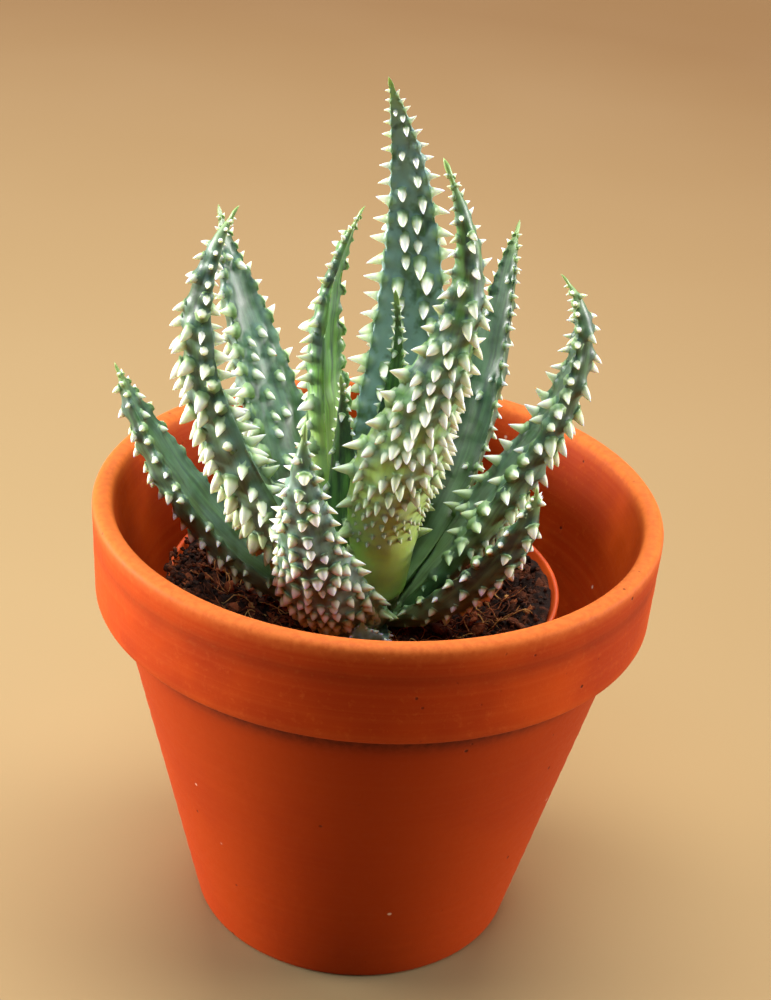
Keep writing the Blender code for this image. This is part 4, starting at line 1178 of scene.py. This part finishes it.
def toothBodies(design, course, teeth, draw):
    # rings round a slightly bent axis, round drops on the faces and thorns at the margins
    shape = toothShape
    thorn, way, ahead = teeth["kind"] == 1, teeth["way"], teeth["ahead"]
    count = len(thorn)
    u = np.array(shape["rings"])
    outline = np.where(thorn[:, None], shape["thorn"], shape["drop"])
    hook = draw.uniform(*shape["hook"], count)
    hook = (hook + np.where(thorn, draw.uniform(*shape["thornHook"], count), 0.0)) * teeth["long"]
    base = teeth["root"] - way * shape["sunk"]
    whole = (teeth["long"] + shape["sunk"])[:, None]
    axis = (base[:, None] + way[:, None] * (whole * u)[..., None]
            + ahead[:, None] * (hook[:, None] * u ** 2)[..., None])
    tip = base + way * whole + ahead * hook[:, None]
    aside = unit(np.cross(way, ahead))
    level = np.cross(aside, way)
    cosine, sine = aroundCircle(shape["sides"]).T[..., None]
    drop, long = shape["longways"]
    longways = np.where(thorn, long, drop)[:, None, None, None]
    rim = cosine * level[:, None, None] * longways + sine * aside[:, None, None]
    rings = axis[:, :, None] + (teeth["radius"][:, None] * outline)[..., None, None] * rim
    parts = manyTubes(rings * mm, base * mm, tip * mm)

    each = len(parts[0]) // count
    horn = np.tile(np.append(np.repeat(u, shape["sides"]), (0.0, 1.0)), count)
    tone = np.repeat(draw.uniform(0, 1, count), each)
    spots = np.stack([*leafSection(design, teeth["s"], teeth["theta"]), teeth["s"] * course["length"]],
                     axis=-1)
    flesh = np.repeat(spots * mm, each, axis=0) + horn[:, None] * shape["colourLength"] * mm
    return parts, {
        "flesh": flesh, "share": np.repeat(teeth["s"], each), "swell": np.ones(count * each),
        "horn": horn, "tone": tone, "inner": np.zeros(count * each),
    }


def leafFinish(name, look, colours):
    skin = Finish(name, 0.42, Specular_IOR_Level=0.5, Subsurface_Scale=0.0011,
                  Subsurface_Radius=(0.9, 1.0, 0.35), Coat_Weight=0.12, Coat_Roughness=0.28)
    flesh = skin.attribute("flesh", "Vector")
    share, swell, horn, tone, inner = (
        skin.attribute(key) for key in ("share", "swell", "horn", "tone", "inner"))
    streaks = skin.noise(skin.stretched(flesh, (1.0, 1.0, 0.07)), 900.0, 3.0, 0.6)
    patches = skin.noise(skin.place(), 230.0, 3.0, 0.6)
    fine = skin.noise(flesh, 3800.0, 2.0, 0.5)
    fresh = skin.times(skin.span(share, 0.4, 0.9, 1.0, 0.35), look["young"])
    green = skin.mix(fresh, colours["green"], colours["young"])
    colour = skin.mix(skin.span(streaks, 0.34, 0.68), colours["dark"], green)
    # the pale root: partly the leaf's own colour, partly a painted glow of light through the flesh
    paleRootGlow = skin.times(skin.span(share, 0.16, 0.60, 1.0, 0.0), look["pale"])
    notPale = skin.minus(1.0, paleRootGlow)
    colour = skin.mix(paleRootGlow, colour, colours["base"])
    # pale blue-grey, thickest on raised flesh round the teeth and thin in the hollows: partly wax bloom,
    # partly a painted sheen
    raised = skin.plus(skin.span(patches, 0.36, 0.64, 0.08, 0.7), skin.span(swell, 0.05, 0.5, 0.0, 0.4))
    bloomAndSheenShare = skin.times(skin.times(raised, look["bloom"]), skin.span(share, 0.06, 0.3, 0.45, 0.85))
    colour = skin.mix(bloomAndSheenShare, colour, colours["bloom"])
    colour = skin.mix(skin.span(share, 0.9, 1.0, 0.0, 0.7), colour, colours["tip"])
    deeper = skin.times(inner, skin.span(patches, 0.3, 0.7, 0.2, 0.0))
    colour = skin.mix(deeper, colour, colours["dark"])
    podium = skin.times(skin.span(swell, 0.35, 1.0, 0.0, 0.75), notPale)
    colour = skin.mix(podium, colour, colours["podium"])
    # teeth: from green at the root to ivory, greener low on the leaf, some with a rusty tip
    ivory = skin.ramp(horn, colours, colours["hornStops"])
    lowGreen = skin.times(skin.span(share, 0.05, 0.5, 0.8, 0.0), notPale)
    greener = skin.plus(skin.times(tone, 0.35), lowGreen)
    tinted = skin.mix(greener, ivory, colours["hornRoot"])
    rusty = skin.times(skin.span(horn, 0.86, 0.97), skin.span(tone, 0.93, 0.96))
    tinted = skin.mix(rusty, tinted, colours["rust"])
    # the lowest teeth are hardly paler than the skin
    plain = skin.span(share, look["bare"], look["bare"] + 0.32, 0.5, 1.0)
    colour = skin.mix(skin.times(skin.span(horn, 0.04, 0.34), plain), colour, tinted)
    skin.set("Base Color", colour)
    soft = skin.maths("MAXIMUM", skin.span(horn, 0.05, 0.4, 0.22, 0.6), skin.times(paleRootGlow, 0.6))
    skin.set("Subsurface Weight", soft)
    smooth = skin.span(patches, 0.3, 0.7, 0.36, 0.52, smooth=False)
    skin.set("Roughness", skin.minus(smooth, skin.times(horn, 0.08)))
    relief = skin.plus(skin.times(streaks, 0.6), skin.times(fine, 0.3))
    skin.set("Normal", skin.bump(relief, 0.35, 0.00014))
    return skin.material


def buildLeaf(name, design, courses, colours):
    course = courses[name]
    draw = np.random.default_rng([seed, *map(ord, name)])
    teeth = leafTeeth(name, design, courses, draw)
    skinParts, skinValues = leafSkin(name, design, course, teeth)
    toothParts, toothValues = toothBodies(design, course, teeth, draw)
    shift = len(skinParts[0])
    points, quads, triangles = (
        np.concatenate([first, second + added])
        for first, second, added in zip(skinParts, toothParts, (0, shift, shift)))
    values = {key: np.concatenate([skinValues[key], toothValues[key]]) for key in skinValues}
    words = name.split("_")
    title = words[0] + "".join(word.capitalize() for word in words[1:])
    mesh = makeMesh(name, points, quads, triangles, values)
    slotName = "young_leaf_skin" if name in youngLeaves else "leaf_skin"
    addPiece(title, mesh, leafFinish(title + "Skin", design, colours), slotName, name)
    print(name, len(teeth["s"]), "teeth", len(mesh.polygons), "faces")


leafCourses = {name: leafCourse(design) for name, design in leaves.items()}
for leafName, leafDesign in leaves.items():
    buildLeaf(leafName, leafDesign, leafCourses, leafColours)


# Floor, lights and camera

studio = {
    "floor": linear(166, 137, 94), "farFloorShade": linear(127, 93, 56), "clouds": (0.7, 0.58, 0.42),
    "floorSize": 8.0,
    # a painted pool of light: the floor is painted paler near a spot a little to the left of the pot and
    # darker with the distance from it
    "lightPoolSpot": (0.1, 0.0, 0.0), "fade": (0.09, 0.60),
    "world": linear(240, 212, 172), "worldStrength": 0.04,
    # each light: where it stands, its width and height, its power, its spread and its colour
    "lights": {
        "leftWindow": ((-2.60, 0.37, 0.33), (1.65, 0.5), 17.0, 50, linear(255, 253, 250)),
        "rightWindow": ((2.66, 0.37, 0.48), (1.65, 0.6), 9.8, 50, linear(255, 253, 250)),
        "backWindow": ((0.0, 1.38, 1.38), (1.5, 1.0), 19.0, 180, linear(255, 253, 250)),
        "overhead": ((0.0, 0.26, 1.86), (1.4, 1.1), 42.0, 180, linear(250, 253, 255)),
        "frontFill": ((-0.25, -0.85, 1.62), (0.8, 0.8), 12.0, 180, linear(204, 233, 255)),
    },
    "lightAim": (0.0, 0.0, 0.08),
}
view = {
    # distance from the aim to the camera, elevation and roll in radians; the lens makes 2000 px of
    # focal length for a picture 1000 px long
    "distance": 316.642, "elevation": 0.4949, "roll": 0.0774, "aim": (0.9511, 0.0, 74.9685),
    "lens": 72.0, "sensor": 36.0, "nearest": 0.01,
}


def buildFloor(look):
    half = look["floorSize"] / 2
    corners = np.array([(-half, -half, 0.0), (half, -half, 0.0), (half, half, 0.0), (-half, half, 0.0)])
    mesh = makeMesh("floor", corners, np.array([[0, 1, 2, 3]]), noFaces)
    paper = Finish("palePaper", 0.85, Specular_IOR_Level=0.2)
    place = paper.place()
    away = paper.add("ShaderNodeVectorMath", "Value", {0: paper.moved(place, look["lightPoolSpot"])},
                     operation="LENGTH")
    # painted pool of light: paler near the spot, darker away from it
    colour = paper.mix(paper.span(away, *look["fade"], smooth=False), look["floor"], look["farFloorShade"])
    clouds = paper.span(paper.noise(place, 6.0, 2.0), 0.3, 0.7, 0.0, 0.02)
    paper.set("Base Color", paper.mix(clouds, colour, look["clouds"]))
    mesh.materials.append(paper.material)
    addObject("floor", mesh)


def aimAt(thing, place, target, spin=0.0):
    # forward is towards the target; right is level, turned by spin towards up
    place = np.array(place, float)
    forward = unit(np.array(target, float) - place)
    level = unit(np.cross(forward, up))
    upright = np.cross(level, forward)
    right = math.cos(spin) * level + math.sin(spin) * upright
    top = math.cos(spin) * upright - math.sin(spin) * level
    matrix = np.eye(4)
    matrix[:3] = np.column_stack([right, top, -forward, place])
    thing.matrix_world = Matrix(matrix.tolist())


def buildLights(look):
    for name, (place, size, power, spread, colour) in look["lights"].items():
        lamp = bpy.data.lights.new(name, "AREA")
        lamp.shape = "RECTANGLE"
        lamp.size, lamp.size_y = size
        lamp.energy = power
        lamp.spread = math.radians(spread)
        lamp.color = colour
        aimAt(addObject(name, lamp), place, look["lightAim"])
    world = bpy.data.worlds.new("room")
    world.use_nodes = True
    air = world.node_tree.nodes["Background"]
    air.inputs["Color"].default_value = (*look["world"], 1.0)
    air.inputs["Strength"].default_value = look["worldStrength"]
    bpy.context.scene.world = world


def buildCamera(look):
    camera = addObject("camera", bpy.data.cameras.new("camera"))
    camera.data.lens = look["lens"]
    camera.data.sensor_width = look["sensor"]
    camera.data.clip_start = look["nearest"]
    aim = np.array(look["aim"]) * mm
    back = np.array([0.0, -math.cos(look["elevation"]), math.sin(look["elevation"])])
    aimAt(camera, aim + back * look["distance"] * mm, aim, look["roll"])
    bpy.context.scene.camera = camera


buildFloor(studio)
buildLights(studio)
buildCamera(view)
bpy.context.scene.view_settings.view_transform = "Standard"
print("floor, lights and camera set")
